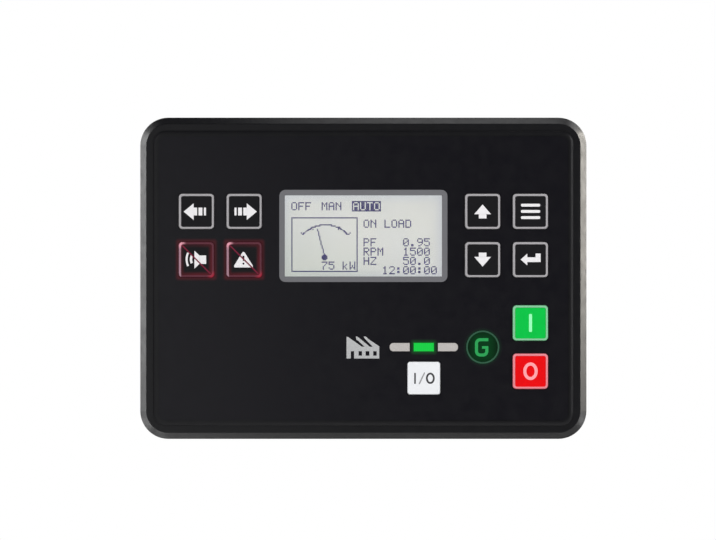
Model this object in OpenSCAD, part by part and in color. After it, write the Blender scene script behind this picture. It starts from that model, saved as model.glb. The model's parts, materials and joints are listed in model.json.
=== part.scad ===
// Genset controller for panel mounting. A black front frame carries a printed overlay, eleven push
// keys, a graphic display and a line of status lamps. A housing behind the panel holds the boards
// and the plug-in terminals.
// Sizes are in millimetres. The front faces -Y and +Z is up. The origin is the centre of the panel
// cut-out, on the plane where the gasket meets the panel.

/* [Front frame] */
// Width of the front frame
front_w = 175; // [172:0.5:190]
// Height of the front frame
front_h = 126; // [124:0.5:140]
// Corner radius of the front frame
corner_r = 11; // [9:0.5:12]
// Width of the bevel round the front, as seen from the front
bevel_w = 2.5; // [1.8:0.1:3]
// Depth of that bevel
bevel_d = 4; // [3:0.1:5]
// Flat ring between the bevel and the raised middle
ring_w = 2.7; // [2.2:0.1:3.2]
// Height of the raised middle over the flat ring
raise_h = 0.9; // [0.6:0.1:1.2]
// Corner radius of the raised middle
raised_r = 4.8; // [4:0.1:6]
// Width of the rounded shoulder of the raised middle
shoulder_w = 1.8; // [1.2:0.1:2.2]
// Thickness of the flange from its back to the flat ring
flange_t = 6.6; // [6.2:0.1:8]
// Thickness of the front plate behind the overlay
plate_t = 2.2; // [1.9:0.1:2.4]
// How far the flange reaches past the housing on each side
flange_overlap = 6.5; // [6.2:0.1:7.2]
// Width of the flange's back that is left inside the housing's outline
seat_w = 3; // [2.6:0.1:3.4]
// Corner radius of the space behind the front plate
cavity_r = 2; // [1.5:0.1:3]
// Rounding of the bevel's two edges
edge_r = 0.4; // [0.2:0.1:0.6]

/* [Panel gasket] */
// Width of the gasket strip
gasket_w = 4; // [3:0.1:4.4]
// Thickness of the gasket
gasket_t = 1.8; // [1.6:0.1:2.2]
// How far the gasket stands out of its groove
gasket_rise = 1; // [0.8:0.1:1.2]
// Distance from the flange's edge to the gasket
gasket_edge = 1; // [0.8:0.1:1.6]

/* [Overlay] */
// Thickness of the overlay sheet
overlay_t = 0.4; // [0.2:0.05:0.6]
// Strip of the raised middle left bare round the overlay
overlay_edge = 0.4; // [0.2:0.1:0.8]

/* [Keys] */
// Width and height of a square key
key_w = 13.75; // [13:0.25:14.75]
// Corner radius of a key
key_r = 1.4; // [1:0.1:2]
// How far a key stands over the overlay
key_rise = 0.8; // [0.5:0.1:1.2]
// Travel of a key when it is pressed
key_travel = 0.6; // [0.4:0.1:0.8]
// Clearance round a key in its aperture
key_gap = 0.2; // [0.15:0.05:0.3]
// Width of the raised frame round a key's face
key_rim_w = 0.8; // [0.6:0.1:1.2]
// Height of that frame over the key's face
key_rim_h = 0.25; // [0.1:0.05:0.4]
// Rounding of a key's front edge
key_edge_r = 0.35; // [0.2:0.05:0.5]
// Width of the lip that holds a key behind the front plate
key_lip = 1; // [0.8:0.1:1.2]
// Thickness of that lip
key_lip_t = 1; // [0.8:0.1:1.2]
// Spacing of the key columns
key_pitch_x = 18.7; // [18.2:0.1:19.2]
// Spacing of the key rows
key_pitch_y = 18.9; // [18.2:0.1:19]
// Distance from the front's side edge to the outer key column
key_side = 22.1; // [21.6:0.1:23]
// Height of the upper key row over the centre
key_row_y = 26.2; // [25.8:0.1:26.6]
// Distance from the front's lower edge to the stop key's centre
stop_key_edge = 26.6; // [26.2:0.1:27.2]
// Width and height of the breaker key
breaker_key_w = 12.75; // [12:0.25:13.5]
// Corner radius of the breaker key
breaker_key_r = 1; // [0.8:0.1:1.6]
// Distance from the front's lower edge to the breaker key's centre
breaker_key_edge = 23.9; // [23.6:0.1:24.2]
// Corner radius of the sunk face of a key
key_face_r = 0.8; // [0.3:0.1:1]

/* [Display] */
// Gap between the display window and the keys beside it
window_gap = 6.9; // [6.4:0.1:8]
// Height of the display window
window_h = 36.1; // [34:0.1:37]
// Corner radius of the display window
window_r = 2.4; // [1.5:0.1:3]
// Thickness of the display window
window_t = 1.6; // [1.2:0.1:1.8]
// Height of the display's centre over the centre of the front
window_y = 16.6; // [16.2:0.1:17.2]
// Width of the window's printed border at its sides
border_x = 2.15; // [1.8:0.05:3]
// Width of that border at its top and foot
border_y = 2.2; // [1.8:0.05:3]
// Clearance of fixed inserts in the front plate
fit_gap = 0.1; // [0.05:0.05:0.2]
// How far the display glass reaches past the window at the sides
cell_reach_x = 2.1; // [1.5:0.1:2.6]
// How far the display glass reaches past the window at the top and foot
cell_reach_y = 2.95; // [2.5:0.05:3.4]
// Thickness of each of the two display glasses
glass_t = 1; // [0.7:0.1:1.1]
// Strip of the rear glass left bare below the front glass
cell_ledge = 3.6; // [3:0.1:4]
// Gap between the front plate and the display glass
display_gap = 0.2; // [0.1:0.05:0.4]
// Width of the display's flexible cable
flex_w = 24; // [18:0.5:30]
// Thickness of the display's flexible cable
flex_t = 0.2; // [0.15:0.05:0.3]
// Distance from the display's foot to the cable's bend
flex_out = 0.4; // [0.2:0.1:0.6]
// Distance from the front glass to the cable's end
flex_end = 1; // [0.6:0.1:1.4]
// Clearance round the display in the rubber mat
cell_gap = 0.5; // [0.3:0.1:1]
// Room for the cable under the display
flex_room = 3.5; // [3:0.1:4]

/* [Status lamps] */
// Distance from the front's lower edge to the status line
lamp_edge = 36.05; // [35.8:0.05:36.3]
// Length of a bar lamp
bar_w = 7.8; // [7.5:0.1:8.4]
// Height of a bar lamp
bar_h = 3.2; // [3:0.1:4]
// Gap between two bar lamps
bar_gap = 1.65; // [1.5:0.05:2]
// Rounding of the outer ends of the line
bar_r = 1.4; // [0.8:0.1:1.4]
// Gap between the line of bars and the generator lamp
line_gap = 3.2; // [2.8:0.05:3.6]
// Gap between the generator lamp and the keys beside it
lamp_gap = 5.2; // [4.5:0.1:5.5]
// Diameter of the generator lamp
lamp_d = 13.1; // [12:0.1:13.4]
// Lip of a lamp lens behind the front plate
lamp_lip = 0.6; // [0.5:0.05:0.65]
// Thickness of that lip
lamp_lip_t = 0.8; // [0.6:0.1:1]
// Width of a light-emitting diode
led_w = 3; // [2.4:0.1:3.2]
// Length of a light-emitting diode
led_l = 2.4; // [2:0.1:2.6]
// Height of a light-emitting diode over its board
led_h = 1; // [0.7:0.1:1.1]
// Clearance of a diode in the rubber mat
led_gap = 0.2; // [0.1:0.05:0.3]
// Distance from the corner of an alarm key to its diode
led_corner = 0.6; // [0.4:0.1:0.8]

/* [Keypad mat and boards] */
// Thickness of the rubber mat's sheet
mat_t = 1; // [0.9:0.1:1.3]
// Height of a rubber dome over the sheet
dome_h = 1.6; // [1.4:0.1:1.7]
// Diameter of a rubber dome at its foot
dome_d = 12.4; // [11:0.1:13]
// Thickness of the dome's web
web_t = 0.5; // [0.4:0.05:0.6]
// Thickness of the dome's flat top
dome_top = 0.7; // [0.5:0.1:0.9]
// How far the dome draws in from its foot to its top
dome_draw = 3; // [2.5:0.1:3.5]
// Diameter of the contact pill in a dome
pill_d = 5; // [4:0.1:6]
// Thickness of both circuit boards
board_t = 1.6; // [1.4:0.1:1.8]
// Clearance between the boards and the walls round them
board_gap = 1.5; // [1.2:0.1:2]
// Length of the spacers between the boards
spacer_h = 12; // [11.5:0.1:14]
// Width of a hexagonal spacer across its flats
spacer_af = 5.5; // [5:0.1:5.6]
// Position of the spacers to the sides of the centre
spacer_x = 62; // [61.8:0.1:64]
// Gap between the spacers and the keys
spacer_gap = 0.85; // [0.6:0.05:1.2]
// Gap between the lower right spacer and the breaker key
spacer_key_gap = 3.45; // [2:0.05:3.6]
// Diameter of the machine screws and studs
screw_d = 2.9; // [2.5:0.1:3]
// Diameter of the screws' heads
head_d = 5.4; // [4.8:0.1:5.6]
// Height of the screws' heads
head_h = 1.8; // [1.4:0.1:2]
// Width of the screws' slots
slot_w = 0.8; // [0.6:0.1:1]
// Depth of the screws' slots
slot_d = 0.9; // [0.6:0.1:1]
// Clearance of a screw in a threaded hole
thread_gap = 0.1; // [0.05:0.05:0.2]
// Clearance of a screw in a through hole
hole_gap = 0.3; // [0.2:0.05:0.5]
// How far a screw or stud reaches into the front frame
reach = 3; // [2.6:0.1:3.2]
// Room in a threaded hole past the end of its screw
hole_room = 0.4; // [0.3:0.1:0.6]
// How far a board's screw reaches into its spacer
board_screw_l = 5; // [4:0.1:5.4]

/* [Components on the boards] */
// Length of the connector between the boards
link_l = 27; // [22:0.5:32]
// Width of that connector
link_w = 5; // [4:0.1:6]
// Height of its socket behind the front board
link_h = 8.5; // [8:0.1:9]
// Position of the connector to the right of the centre
link_x = -15; // [-20:0.5:-8]
// Position of the connector over the centre
link_y = -12; // [-16:0.5:-8]
// Width of the processor
chip_w = 14; // [10:0.5:16]
// Height of the processor
chip_h = 1.4; // [1:0.1:1.6]
// Position of the processor to the right of the centre
chip_x = 8; // [4:0.5:12]
// Position of the processor over the centre
chip_y = 8; // [4:0.5:12]
// Length of a relay
relay_l = 19; // [17:0.5:20]
// Width of a relay
relay_w = 15.5; // [14:0.5:17]
// Height of a relay
relay_h = 15.2; // [14:0.1:16]
// Spacing of the relays
relay_pitch = 22; // [21:0.5:22]
// Position of the middle relay to the right of the centre
relay_x = -34; // [-35:0.5:-33]
// Height of the row of tall components over the centre
tall_y = 12; // [8:0.5:14]
// Diameter of a capacitor
can_d = 10; // [8:0.5:11]
// Height of a capacitor
can_h = 16; // [14:0.5:17]
// Spacing of the capacitors
can_pitch = 13; // [12:0.5:14]
// Position of the pair of capacitors to the right of the centre
can_x = 20.5; // [19:0.5:22]
// Width of the choke
choke_w = 12.5; // [10:0.5:13]
// Height of the choke
choke_h = 8; // [6:0.5:9]
// Corner radius of the choke
choke_r = 1.5; // [1:0.1:2]
// Position of the choke to the right of the centre
choke_x = 45; // [43:0.5:48]
// Diameter of the clock battery
coin_d = 20; // [16:0.5:20]
// Thickness of the clock battery
coin_t = 3.2; // [2:0.1:3.2]
// Clearance round the battery in its holder
coin_gap = 0.2; // [0.1:0.05:0.3]
// Position of the battery to the right of the centre
coin_x = 40; // [38:0.5:42]
// Position of the battery over the centre
coin_y = 4; // [2:0.5:6]
// Wall of the battery's holder
holder_wall = 1.8; // [1.4:0.1:2]
// Floor of the battery's holder
holder_floor = 1.4; // [1:0.1:2]
// How far the holder's wall stands over the battery
holder_rise = 0.8; // [0.4:0.1:1]

/* [Rear housing] */
// Wall thickness of the rear housing
wall = 2.4; // [2:0.1:2.6]
// Corner radius of the rear housing
body_r = 4; // [3:0.1:5]
// Corner radius inside the rear housing
inner_r = 2.2; // [1.6:0.1:3]
// Height of the ledges that carry the terminals
ledge_h = 22; // [21:0.1:23]
// Height of the middle block over the ledges
block_rise = 12; // [11:0.5:16]
// How far the middle block stands in from the housing's sides
block_inset = 4; // [3:0.1:6]
// Rounding of the housing's rear edges
housing_edge_r = 1.5; // [0.8:0.1:2]
// Diameter of the screw posts
post_d = 7; // [6.6:0.1:7.2]
// Distance from the frame's inner walls to the posts' centres
post_inset = 4.2; // [4:0.1:4.4]
// Number of vent slots
vent_count = 15; // [9:2:17]
// Width of a vent slot
vent_w = 2.4; // [2:0.1:3]
// Length of a vent slot
vent_l = 34; // [20:0.5:40]
// Spacing of the vent slots
vent_pitch = 6; // [5:0.1:6.4]

/* [Terminals] */
// Spacing of the contacts
pin_pitch = 5.08; // [5:0.04:5.08]
// Spacing of the contacts on the voltage terminal
wide_pitch = 7.62; // [7.5:0.04:7.62]
// Height of a header over its board
header_h = 12; // [11.5:0.1:13]
// Depth of a header across its row
header_w = 8.6; // [8.2:0.1:8.8]
// Wall thickness of a header
header_wall = 0.8; // [0.7:0.05:0.9]
// Thickness of a header's floor
header_floor = 2.8; // [2:0.1:3]
// How far a header stands out of its ledge
header_proud = 0.6; // [0.3:0.1:1]
// Clearance round a header in the housing
header_gap = 0.3; // [0.2:0.05:0.4]
// Clearance of a plug in its header
plug_gap = 0.15; // [0.1:0.05:0.2]
// Length of a plug's nose
nose_l = 8.5; // [7.8:0.1:8.6]
// Length of a plug behind its header
plug_l = 14; // [13:0.1:16]
// Distance from the contact row to a plug's inner side
plug_in = 4.6; // [4.4:0.1:5]
// Distance from the contact row to a plug's outer side
plug_out = 7.4; // [7.2:0.1:8]
// Width of the slope on a plug's outer rear edge
slope_y = 3; // [2:0.1:3.6]
// Length of that slope
slope_z = 5; // [4:0.1:5.6]
// Gap between a plug and the mouth of its header
mouth_gap = 0.1; // [0.05:0.05:0.2]
// Width of a wire entry
wire_w = 3; // [2.6:0.1:3.4]
// Height of a wire entry
wire_h = 3.8; // [3.4:0.1:3.9]
// Depth of a wire entry
wire_depth = 7.5; // [6:0.1:8]
// Distance of the wire entries from the contact row towards the inner side
wire_in = 0.6; // [0.3:0.1:0.8]
// Diameter of a clamping screw's well
well_d = 3.6; // [3.4:0.1:4]
// Depth of that well
well_depth = 5; // [4.6:0.1:5.4]
// Distance from the header's mouth to the wells
well_z = 4.4; // [4:0.1:5]
// Height of a clamping screw in its well
clamping_h = 2.6; // [2:0.1:3]
// Width of a clamping screw's slot
clamping_slot = 0.6; // [0.4:0.1:0.8]
// Clearance of a contact pin in its plug
pin_gap = 0.2; // [0.1:0.05:0.3]
// How far a contact pin ends behind its header's mouth
pin_sunk = 2; // [1.8:0.1:3]
// Width of a square contact pin
pin_w = 1; // [0.8:0.1:1.1]
// Distance from the housing's upper and lower sides to the contact rows
row_edge = 10.5; // [10.2:0.1:10.8]
// Gap between two headers in a row
row_gap = 5; // [4:0.1:5.5]
// Width of the data socket
usb_w = 12; // [11:0.1:13]
// Height of the data socket
usb_h = 11; // [10:0.1:11.6]
// Gap between the data socket and the spacer beside it
usb_gap = 3.6; // [3:0.1:5]
// Width of the data socket's opening
port_w = 8.5; // [8:0.1:9]
// Height of the data socket's opening
port_h = 7.8; // [7.4:0.1:8]
// Width of the slanted corners of that opening
port_slant = 2.4; // [2:0.1:2.8]
// Thickness of the data socket's rear wall
port_floor = 2.4; // [2:0.1:3]
// Width of the tongue in the data socket
tongue_w = 5.6; // [5:0.1:6]
// Height of that tongue
tongue_h = 3.2; // [3:0.1:3.4]
// How far the tongue ends behind the socket's mouth
tongue_sunk = 1.2; // [0.8:0.1:2]

/* [Panel clamps] */
// Thickness of the panel that the clamps are set to
panel_t = 3; // [2.5:0.1:4]
// Position of the clamps over and under the centre
clamp_y = 32; // [28:0.5:36]
// Width of a clamp
clamp_w = 10; // [9.5:0.1:12]
// Thickness of a clamp away from the housing
clamp_t = 5; // [4.9:0.05:5.2]
// Length of a clamp along its screw
clamp_l = 9; // [8:0.1:10]
// Distance from the panel's front to the near end of a clamp
clamp_back = 9; // [8.5:0.1:10]
// Spacing of a clamp's two hooks
hook_pitch = 5.2; // [4.8:0.1:5.6]
// Width of a hook
hook_w = 3; // [2.6:0.1:3.2]
// Clearance of a hook in its slot
hook_gap = 0.2; // [0.1:0.05:0.3]
// Thickness of a hook's arm
hook_t = 2; // [1.6:0.1:2]
// Distance from the near end of the clamp to a hook's arm
hook_back = 2.1; // [1.8:0.1:2.4]
// Length of a hook's grip
hook_l = 3.9; // [3.4:0.1:4.2]
// Thickness of a hook's grip
hook_grip = 1.2; // [1:0.1:1.4]
// Diameter of a clamp screw's head
clamp_head_d = 4.8; // [4.4:0.1:5]
// Height of a clamp screw's head
clamp_head_h = 2.2; // [2:0.1:2.6]
// How far a clamp screw's head stands behind the clamp
clamp_screw_out = 2; // [1:0.1:3]
// Diameter of a clamp's foot
foot_d = 4.6; // [4.2:0.1:4.8]
// Length of a clamp's foot
foot_l = 3; // [2.6:0.1:4]
// Depth of the screw in a clamp's foot
foot_hole = 2.2; // [1.6:0.1:2.4]
// Distance from a clamp's middle to the line of its screw, away from the housing
clamp_screw_off = 0.4; // [0.2:0.1:0.5]

/* [Hidden] */
$fn = 64;
over = 1;
lip_gap = 0.05;
lens_gap = 0.3;
sink = 0.5;
view_gap = 0.3;
dome_edge = 0.5;
post_gap = 0.8;

// Levels along the depth, counted towards the front from the panel
flange_z = gasket_rise;
ring_z = flange_z + flange_t;
top_z = ring_z + raise_h;
face_z = top_z + overlay_t;
plate_z = top_z - plate_t;
lip_z = plate_z - lip_gap;
key_back_z = lip_z - key_lip_t;
mat_z = key_back_z - dome_h;
board_z = mat_z - mat_t;
board_back_z = board_z - board_t;
main_z = board_back_z - spacer_h;
main_back_z = main_z - board_t;
mouth_z = main_back_z - header_h;
ledge_z = mouth_z + header_proud;
block_z = ledge_z - block_rise;
cell_z = plate_z - display_gap;
lens_back_z = board_z + max(led_h, mat_t) + lens_gap;

// Outlines that follow from the front
raised_w = front_w - 2 * (bevel_w + ring_w);
raised_h = front_h - 2 * (bevel_w + ring_w);
overlay_w = raised_w - 2 * (shoulder_w + overlay_edge);
overlay_h = raised_h - 2 * (shoulder_w + overlay_edge);
overlay_r = raised_r - shoulder_w - overlay_edge;
body_w = front_w - 2 * flange_overlap;
body_h = front_h - 2 * flange_overlap;
cavity_w = body_w - 2 * seat_w;
cavity_h = body_h - 2 * seat_w;
block_w = body_w - 2 * block_inset;
block_h = body_h - 2 * ledge_h;
post_x = cavity_w / 2 - post_inset;
post_y = cavity_h / 2 - post_inset;
board_w = cavity_w - 2 * board_gap;
board_h = cavity_h - 2 * board_gap;

// Keys: name, position to the right, position up, width, raised frame or not
outer_x = front_w / 2 - key_side;
inner_x = outer_x - key_pitch_x;
low_row_y = key_row_y - key_pitch_y;
stop_key_y = stop_key_edge - front_h / 2;
breaker_key_y = breaker_key_edge - front_h / 2;
lamp_y = lamp_edge - front_h / 2;
lamp_x = outer_x - key_w / 2 - lamp_gap - lamp_d / 2;
bar_step = bar_w + bar_gap;
breaker_x = lamp_x - lamp_d / 2 - line_gap - bar_w / 2 - bar_step;
key_room = key_gap + key_lip;
window_w = 2 * (inner_x - key_w / 2 - window_gap);
view_w = window_w - 2 * border_x;
view_h = window_h - 2 * border_y;
cell_w = window_w + 2 * cell_reach_x;
cell_h = window_h + 2 * cell_reach_y;
KEYS = [
    ["key_page_left", -outer_x, key_row_y, key_w, true],
    ["key_page_right", -inner_x, key_row_y, key_w, true],
    ["key_horn_reset", -outer_x, low_row_y, key_w, true],
    ["key_fault_reset", -inner_x, low_row_y, key_w, true],
    ["key_up", inner_x, key_row_y, key_w, true],
    ["key_menu", outer_x, key_row_y, key_w, true],
    ["key_down", inner_x, low_row_y, key_w, true],
    ["key_enter", outer_x, low_row_y, key_w, true],
    ["key_start", outer_x, stop_key_y + key_pitch_y, key_w, true],
    ["key_stop", outer_x, stop_key_y, key_w, true],
    ["key_breaker", breaker_x, breaker_key_y, breaker_key_w, false],
];
// Corner radius of a key, which is smaller where it has no frame
function key_corner(k) = k[4] ? key_r : breaker_key_r;

// Spacers: beside the terminal rows, clear of the keys
spacer_y = key_row_y + key_w / 2 + key_room + spacer_af / 2 + spacer_gap;
spacer_low_x = breaker_x + breaker_key_w / 2 + key_room + spacer_af / 2 + spacer_key_gap;
SPACERS = [
    [-spacer_x, spacer_y],
    [spacer_x, spacer_y],
    [-spacer_x, -spacer_y],
    [spacer_low_x, -spacer_y],
];

// Bar lamps: name, position to the right, rounded end (-1 left, 0 none, 1 right)
BARS = [
    ["lamp_load_line", breaker_x - bar_step, -1],
    ["lamp_breaker", breaker_x, 0],
    ["lamp_generator_line", breaker_x + bar_step, 1],
];

// Diodes: one behind each lamp, and one beside the dome of each alarm key
alarm_led = key_w / 2 - led_corner;
LEDS = [
    [breaker_x - bar_step, lamp_y],
    [breaker_x, lamp_y],
    [breaker_x + bar_step, lamp_y],
    [lamp_x, lamp_y],
    [-outer_x + alarm_led, low_row_y - alarm_led],
    [-inner_x + alarm_led, low_row_y - alarm_led],
];

// Terminals: name, contacts, spacing, centre of the row, side (1 over and -1 under the block)
nose_y = header_w - 2 * (header_wall + plug_gap);
function header_len(t) = t[1] * t[2] + 2 * (header_wall + plug_gap);
function row_start(row, i) =
    i == 0 ? 0 : row_start(row, i - 1) + header_len(row[i - 1]) + row_gap;
function placed(row, left, side) = [
    for (i = [0:len(row) - 1])
        concat(row[i], [left + row_start(row, i) + header_len(row[i]) / 2, side])
];
UPPER = [
    ["power", 10, pin_pitch],
    ["current", 4, pin_pitch],
    ["voltage", 4, wide_pitch],
];
LOWER = [
    ["inputs", 12, pin_pitch],
    ["bus", 4, pin_pitch],
];
upper_len = row_start(UPPER, 2) + header_len(UPPER[2]);
TERMINALS = concat(
    placed(UPPER, -upper_len / 2, 1),
    placed(LOWER, -upper_len / 2, -1)
);
row_y = body_h / 2 - row_edge;
usb_x = spacer_low_x + head_d / 2 + usb_gap + usb_w / 2;
clamp_mid = clamp_t / 2 + clamp_screw_off;
HOOKS = [-hook_pitch / 2, hook_pitch / 2];
slot_l = hook_back + hook_t + thread_gap;
grip_x = -wall - hook_grip - thread_gap;

KEY_NODES = [for (k = KEYS) k[0]];
BAR_NODES = [for (b = BARS) b[0]];
HEADER_NODES = [for (t = TERMINALS) str("header_", t[0])];
PLUG_NODES = [for (t = TERMINALS) str("plug_", t[0])];

function unit(v) = v / norm(v);

// Points of an arc of radius e that rounds the corner b between a and c
function rounded(a, b, c, e, n = 4) =
    let (u = unit(a - b), v = unit(c - b), half = acos(u * v) / 2)
    let (m = b + unit(u + v) * e / sin(half))
    let (p = b + u * e / tan(half), q = b + v * e / tan(half))
    [for (i = [0:n]) m + unit(p + (q - p) * i / n - m) * e];

module upright() {
    rotate([90, 0, 0])
        children();
}

module round_rect(w, h, r) {
    square([w - 2 * r, h], center = true);
    square([w, h - 2 * r], center = true);
    for (sx = [-1, 1], sy = [-1, 1])
        translate([sx * (w / 2 - r), sy * (h / 2 - r)])
            circle(r);
}

module slab(w, h, r, z0, z1) {
    translate([0, 0, z0])
        linear_extrude(z1 - z0)
            round_rect(w, h, r);
}

module box(w, h, z0, z1) {
    translate([-w / 2, -h / 2, z0])
        cube([w, h, z1 - z0]);
}

// Sweeps a profile round a rounded rectangle: x runs out from the corners' centres, y is the height
module sweep_rim(w, h, r) {
    for (k = [0:3]) {
        half = k % 2 == 0 ? w / 2 - r : h / 2 - r;
        run = k % 2 == 0 ? h - 2 * r : w - 2 * r;
        rotate(90 * k) {
            translate([half, 0, 0])
                rotate([90, 0, 0])
                    linear_extrude(run, center = true)
                        children();
            translate([half, run / 2, 0])
                rotate_extrude(angle = 90)
                    children();
        }
    }
}

// A slab whose front edge is rounded
module soft_slab(w, h, r, z0, z1, e) {
    low = [r, z0];
    edge = [r, z1];
    profile = concat([[0, z0], low], rounded(low, edge, [0, z1], e), [[0, z1]]);
    sweep_rim(w, h, r)
        polygon(profile);
    box(w - 2 * r, h - 2 * r, z0, z1);
}

// The same with the rounded edge at the rear
module soft_tub(w, h, r, z0, z1, e) {
    translate([0, 0, z0 + z1])
        mirror([0, 0, 1])
            soft_slab(w, h, r, z0, z1, e);
}

module along_x(length) {
    rotate([90, 0, 90])
        linear_extrude(length, center = true)
            children();
}

module at_posts() {
    for (sx = [-1, 1], sy = [-1, 1])
        translate([sx * post_x, sy * post_y, 0])
            children();
}

module at_spacers() {
    for (p = SPACERS)
        translate([p[0], p[1], 0])
            children();
}

module at_terminal(t) {
    translate([t[3], t[4] * row_y, mouth_z])
        rotate(t[4] > 0 ? 0 : 180)
            children();
}

module at_contacts(t) {
    for (i = [0:t[1] - 1])
        translate([(i - (t[1] - 1) / 2) * t[2], 0, 0])
            children();
}

module at_clamps() {
    for (turn = [0, 180], y = [-clamp_y, clamp_y])
        rotate(turn)
            translate([body_w / 2, y, 0])
                children();
}

// Outline of one bar lamp, rounded at one end, and grown by g all round
module bar_outline(end, g) {
    w = bar_w + 2 * g;
    h = bar_h + 2 * g;
    r = bar_r + g;
    if (end == 0) {
        square([w, h], center = true);
    } else {
        rotate(end > 0 ? 0 : 180) {
            translate([-w / 2, -h / 2])
                square([w - r, h]);
            translate([-w / 2, r - h / 2])
                square([w, h - 2 * r]);
            for (s = [-1, 1])
                translate([w / 2 - r, s * (h / 2 - r)])
                    circle(r);
        }
    }
}

// The frame's outer form, with bevelled sides and the raised middle
module frame_form() {
    side = [corner_r, flange_z];
    low = [corner_r, ring_z - bevel_d];
    high = [corner_r - bevel_w, ring_z];
    centre = [0, ring_z];
    bevel = concat(rounded(side, low, high, edge_r), rounded(low, high, centre, edge_r));
    sweep_rim(front_w, front_h, corner_r)
        polygon(concat([[0, flange_z], side], bevel, [centre]));
    box(front_w - 2 * corner_r, front_h - 2 * corner_r, flange_z, ring_z);
    flat_r = raised_r - shoulder_w;
    shoulder = [
        for (i = [0:8])
            [flat_r + shoulder_w * sin(90 - 11.25 * i), ring_z + raise_h * cos(90 - 11.25 * i)]
    ];
    sweep_rim(raised_w, raised_h, raised_r)
        polygon(concat([[0, ring_z - over], [raised_r, ring_z - over]], shoulder, [[0, top_z]]));
    box(raised_w - 2 * raised_r, raised_h - 2 * raised_r, ring_z - over, top_z);
}

module gasket_ring(z0, z1) {
    w = front_w - 2 * gasket_edge;
    h = front_h - 2 * gasket_edge;
    r = corner_r - gasket_edge;
    difference() {
        slab(w, h, r, z0, z1);
        slab(w - 2 * gasket_w, h - 2 * gasket_w, r - gasket_w, z0 - over, z1 + over);
    }
}

module front_frame() {
    color("#1c1c1f")
        difference() {
            union() {
                difference() {
                    frame_form();
                    slab(cavity_w, cavity_h, cavity_r, flange_z - over, plate_z);
                    gasket_ring(flange_z - over, gasket_t);
                }
                at_posts()
                    translate([0, 0, flange_z])
                        cylinder(d = post_d, h = plate_z - flange_z + sink);
                at_spacers()
                    translate([0, 0, board_z])
                        cylinder(d = spacer_af, h = plate_z - board_z + sink);
            }
            for (k = KEYS)
                translate([k[1], k[2], 0])
                    slab(
                        k[3] + 2 * key_gap, k[3] + 2 * key_gap, key_corner(k) + key_gap,
                        plate_z - over, top_z + over
                    );
            translate([0, window_y, 0]) {
                box(view_w + 2 * view_gap, view_h + 2 * view_gap, plate_z - over, top_z + over);
                slab(
                    window_w + 2 * fit_gap, window_h + 2 * fit_gap, window_r + fit_gap,
                    face_z - window_t, top_z + over
                );
            }
            for (b = BARS)
                translate([b[1], lamp_y, plate_z - over])
                    linear_extrude(plate_t + 2 * over)
                        bar_outline(b[2], fit_gap);
            translate([lamp_x, lamp_y, plate_z - over])
                cylinder(d = lamp_d + 2 * fit_gap, h = plate_t + 2 * over);
            at_posts()
                translate([0, 0, flange_z - over])
                    cylinder(d = screw_d + thread_gap, h = reach + hole_room + over);
            at_spacers()
                translate([0, 0, board_z - over])
                    cylinder(d = screw_d + thread_gap, h = reach + hole_room + over);
        }
}

module front_overlay() {
    color("#202024")
        difference() {
            slab(overlay_w, overlay_h, overlay_r, top_z, face_z);
            for (k = KEYS)
                translate([k[1], k[2], 0])
                    slab(
                        k[3] + 2 * key_gap, k[3] + 2 * key_gap, key_corner(k) + key_gap,
                        top_z - over, face_z + over
                    );
            translate([0, window_y, 0])
                slab(
                    window_w + 2 * fit_gap, window_h + 2 * fit_gap, window_r + fit_gap,
                    top_z - over, face_z + over
                );
            for (b = BARS)
                translate([b[1], lamp_y, top_z - over])
                    linear_extrude(overlay_t + 2 * over)
                        bar_outline(b[2], fit_gap);
            translate([lamp_x, lamp_y, top_z - over])
                cylinder(d = lamp_d + 2 * fit_gap, h = overlay_t + 2 * over);
        }
}

module display_window() {
    color("#d8d8d8", 0.6)
        translate([0, window_y, 0])
            slab(window_w, window_h, window_r, face_z - window_t, face_z);
}

module panel_gasket() {
    color("#2c2c2e")
        gasket_ring(0, gasket_t);
}

module push_key(k) {
    tint = k[0] == "key_start" ? "#06b845" : k[0] == "key_stop" ? "#e80c18" : "#c4c4c6";
    w = k[3];
    front_z = face_z + key_rise;
    face_w = w - 2 * key_rim_w;
    color(k[4] ? tint : "#ececf0")
        translate([k[1], k[2], 0])
            difference() {
                union() {
                    soft_slab(w, w, key_corner(k), lip_z - key_lip_t, front_z, key_edge_r);
                    slab(w + 2 * key_room, w + 2 * key_room, key_corner(k), key_back_z, lip_z);
                }
                if (k[4])
                    slab(face_w, face_w, key_face_r, front_z - key_rim_h, front_z + over);
            }
}

module bar_lens(b) {
    color(b[0] == "lamp_breaker" ? "#1ad84a" : "#c4c0c0")
        translate([b[1], lamp_y, 0]) {
            translate([0, 0, lens_back_z])
                linear_extrude(face_z - lens_back_z)
                    bar_outline(b[2], 0);
            translate([0, 0, lip_z - lamp_lip_t])
                linear_extrude(lamp_lip_t)
                    bar_outline(b[2], fit_gap + lamp_lip);
        }
}

module lamp_generator() {
    color("#123a22")
        translate([lamp_x, lamp_y, 0]) {
            translate([0, 0, lens_back_z])
                cylinder(d = lamp_d, h = face_z - lens_back_z);
            translate([0, 0, lip_z - lamp_lip_t])
                cylinder(d = lamp_d + 2 * (fit_gap + lamp_lip), h = lamp_lip_t);
        }
}

module status_leds() {
    color("#f2f2ea")
        for (p = LEDS)
            translate([p[0], p[1], 0])
                box(led_w, led_l, board_z, board_z + led_h);
}

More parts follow.
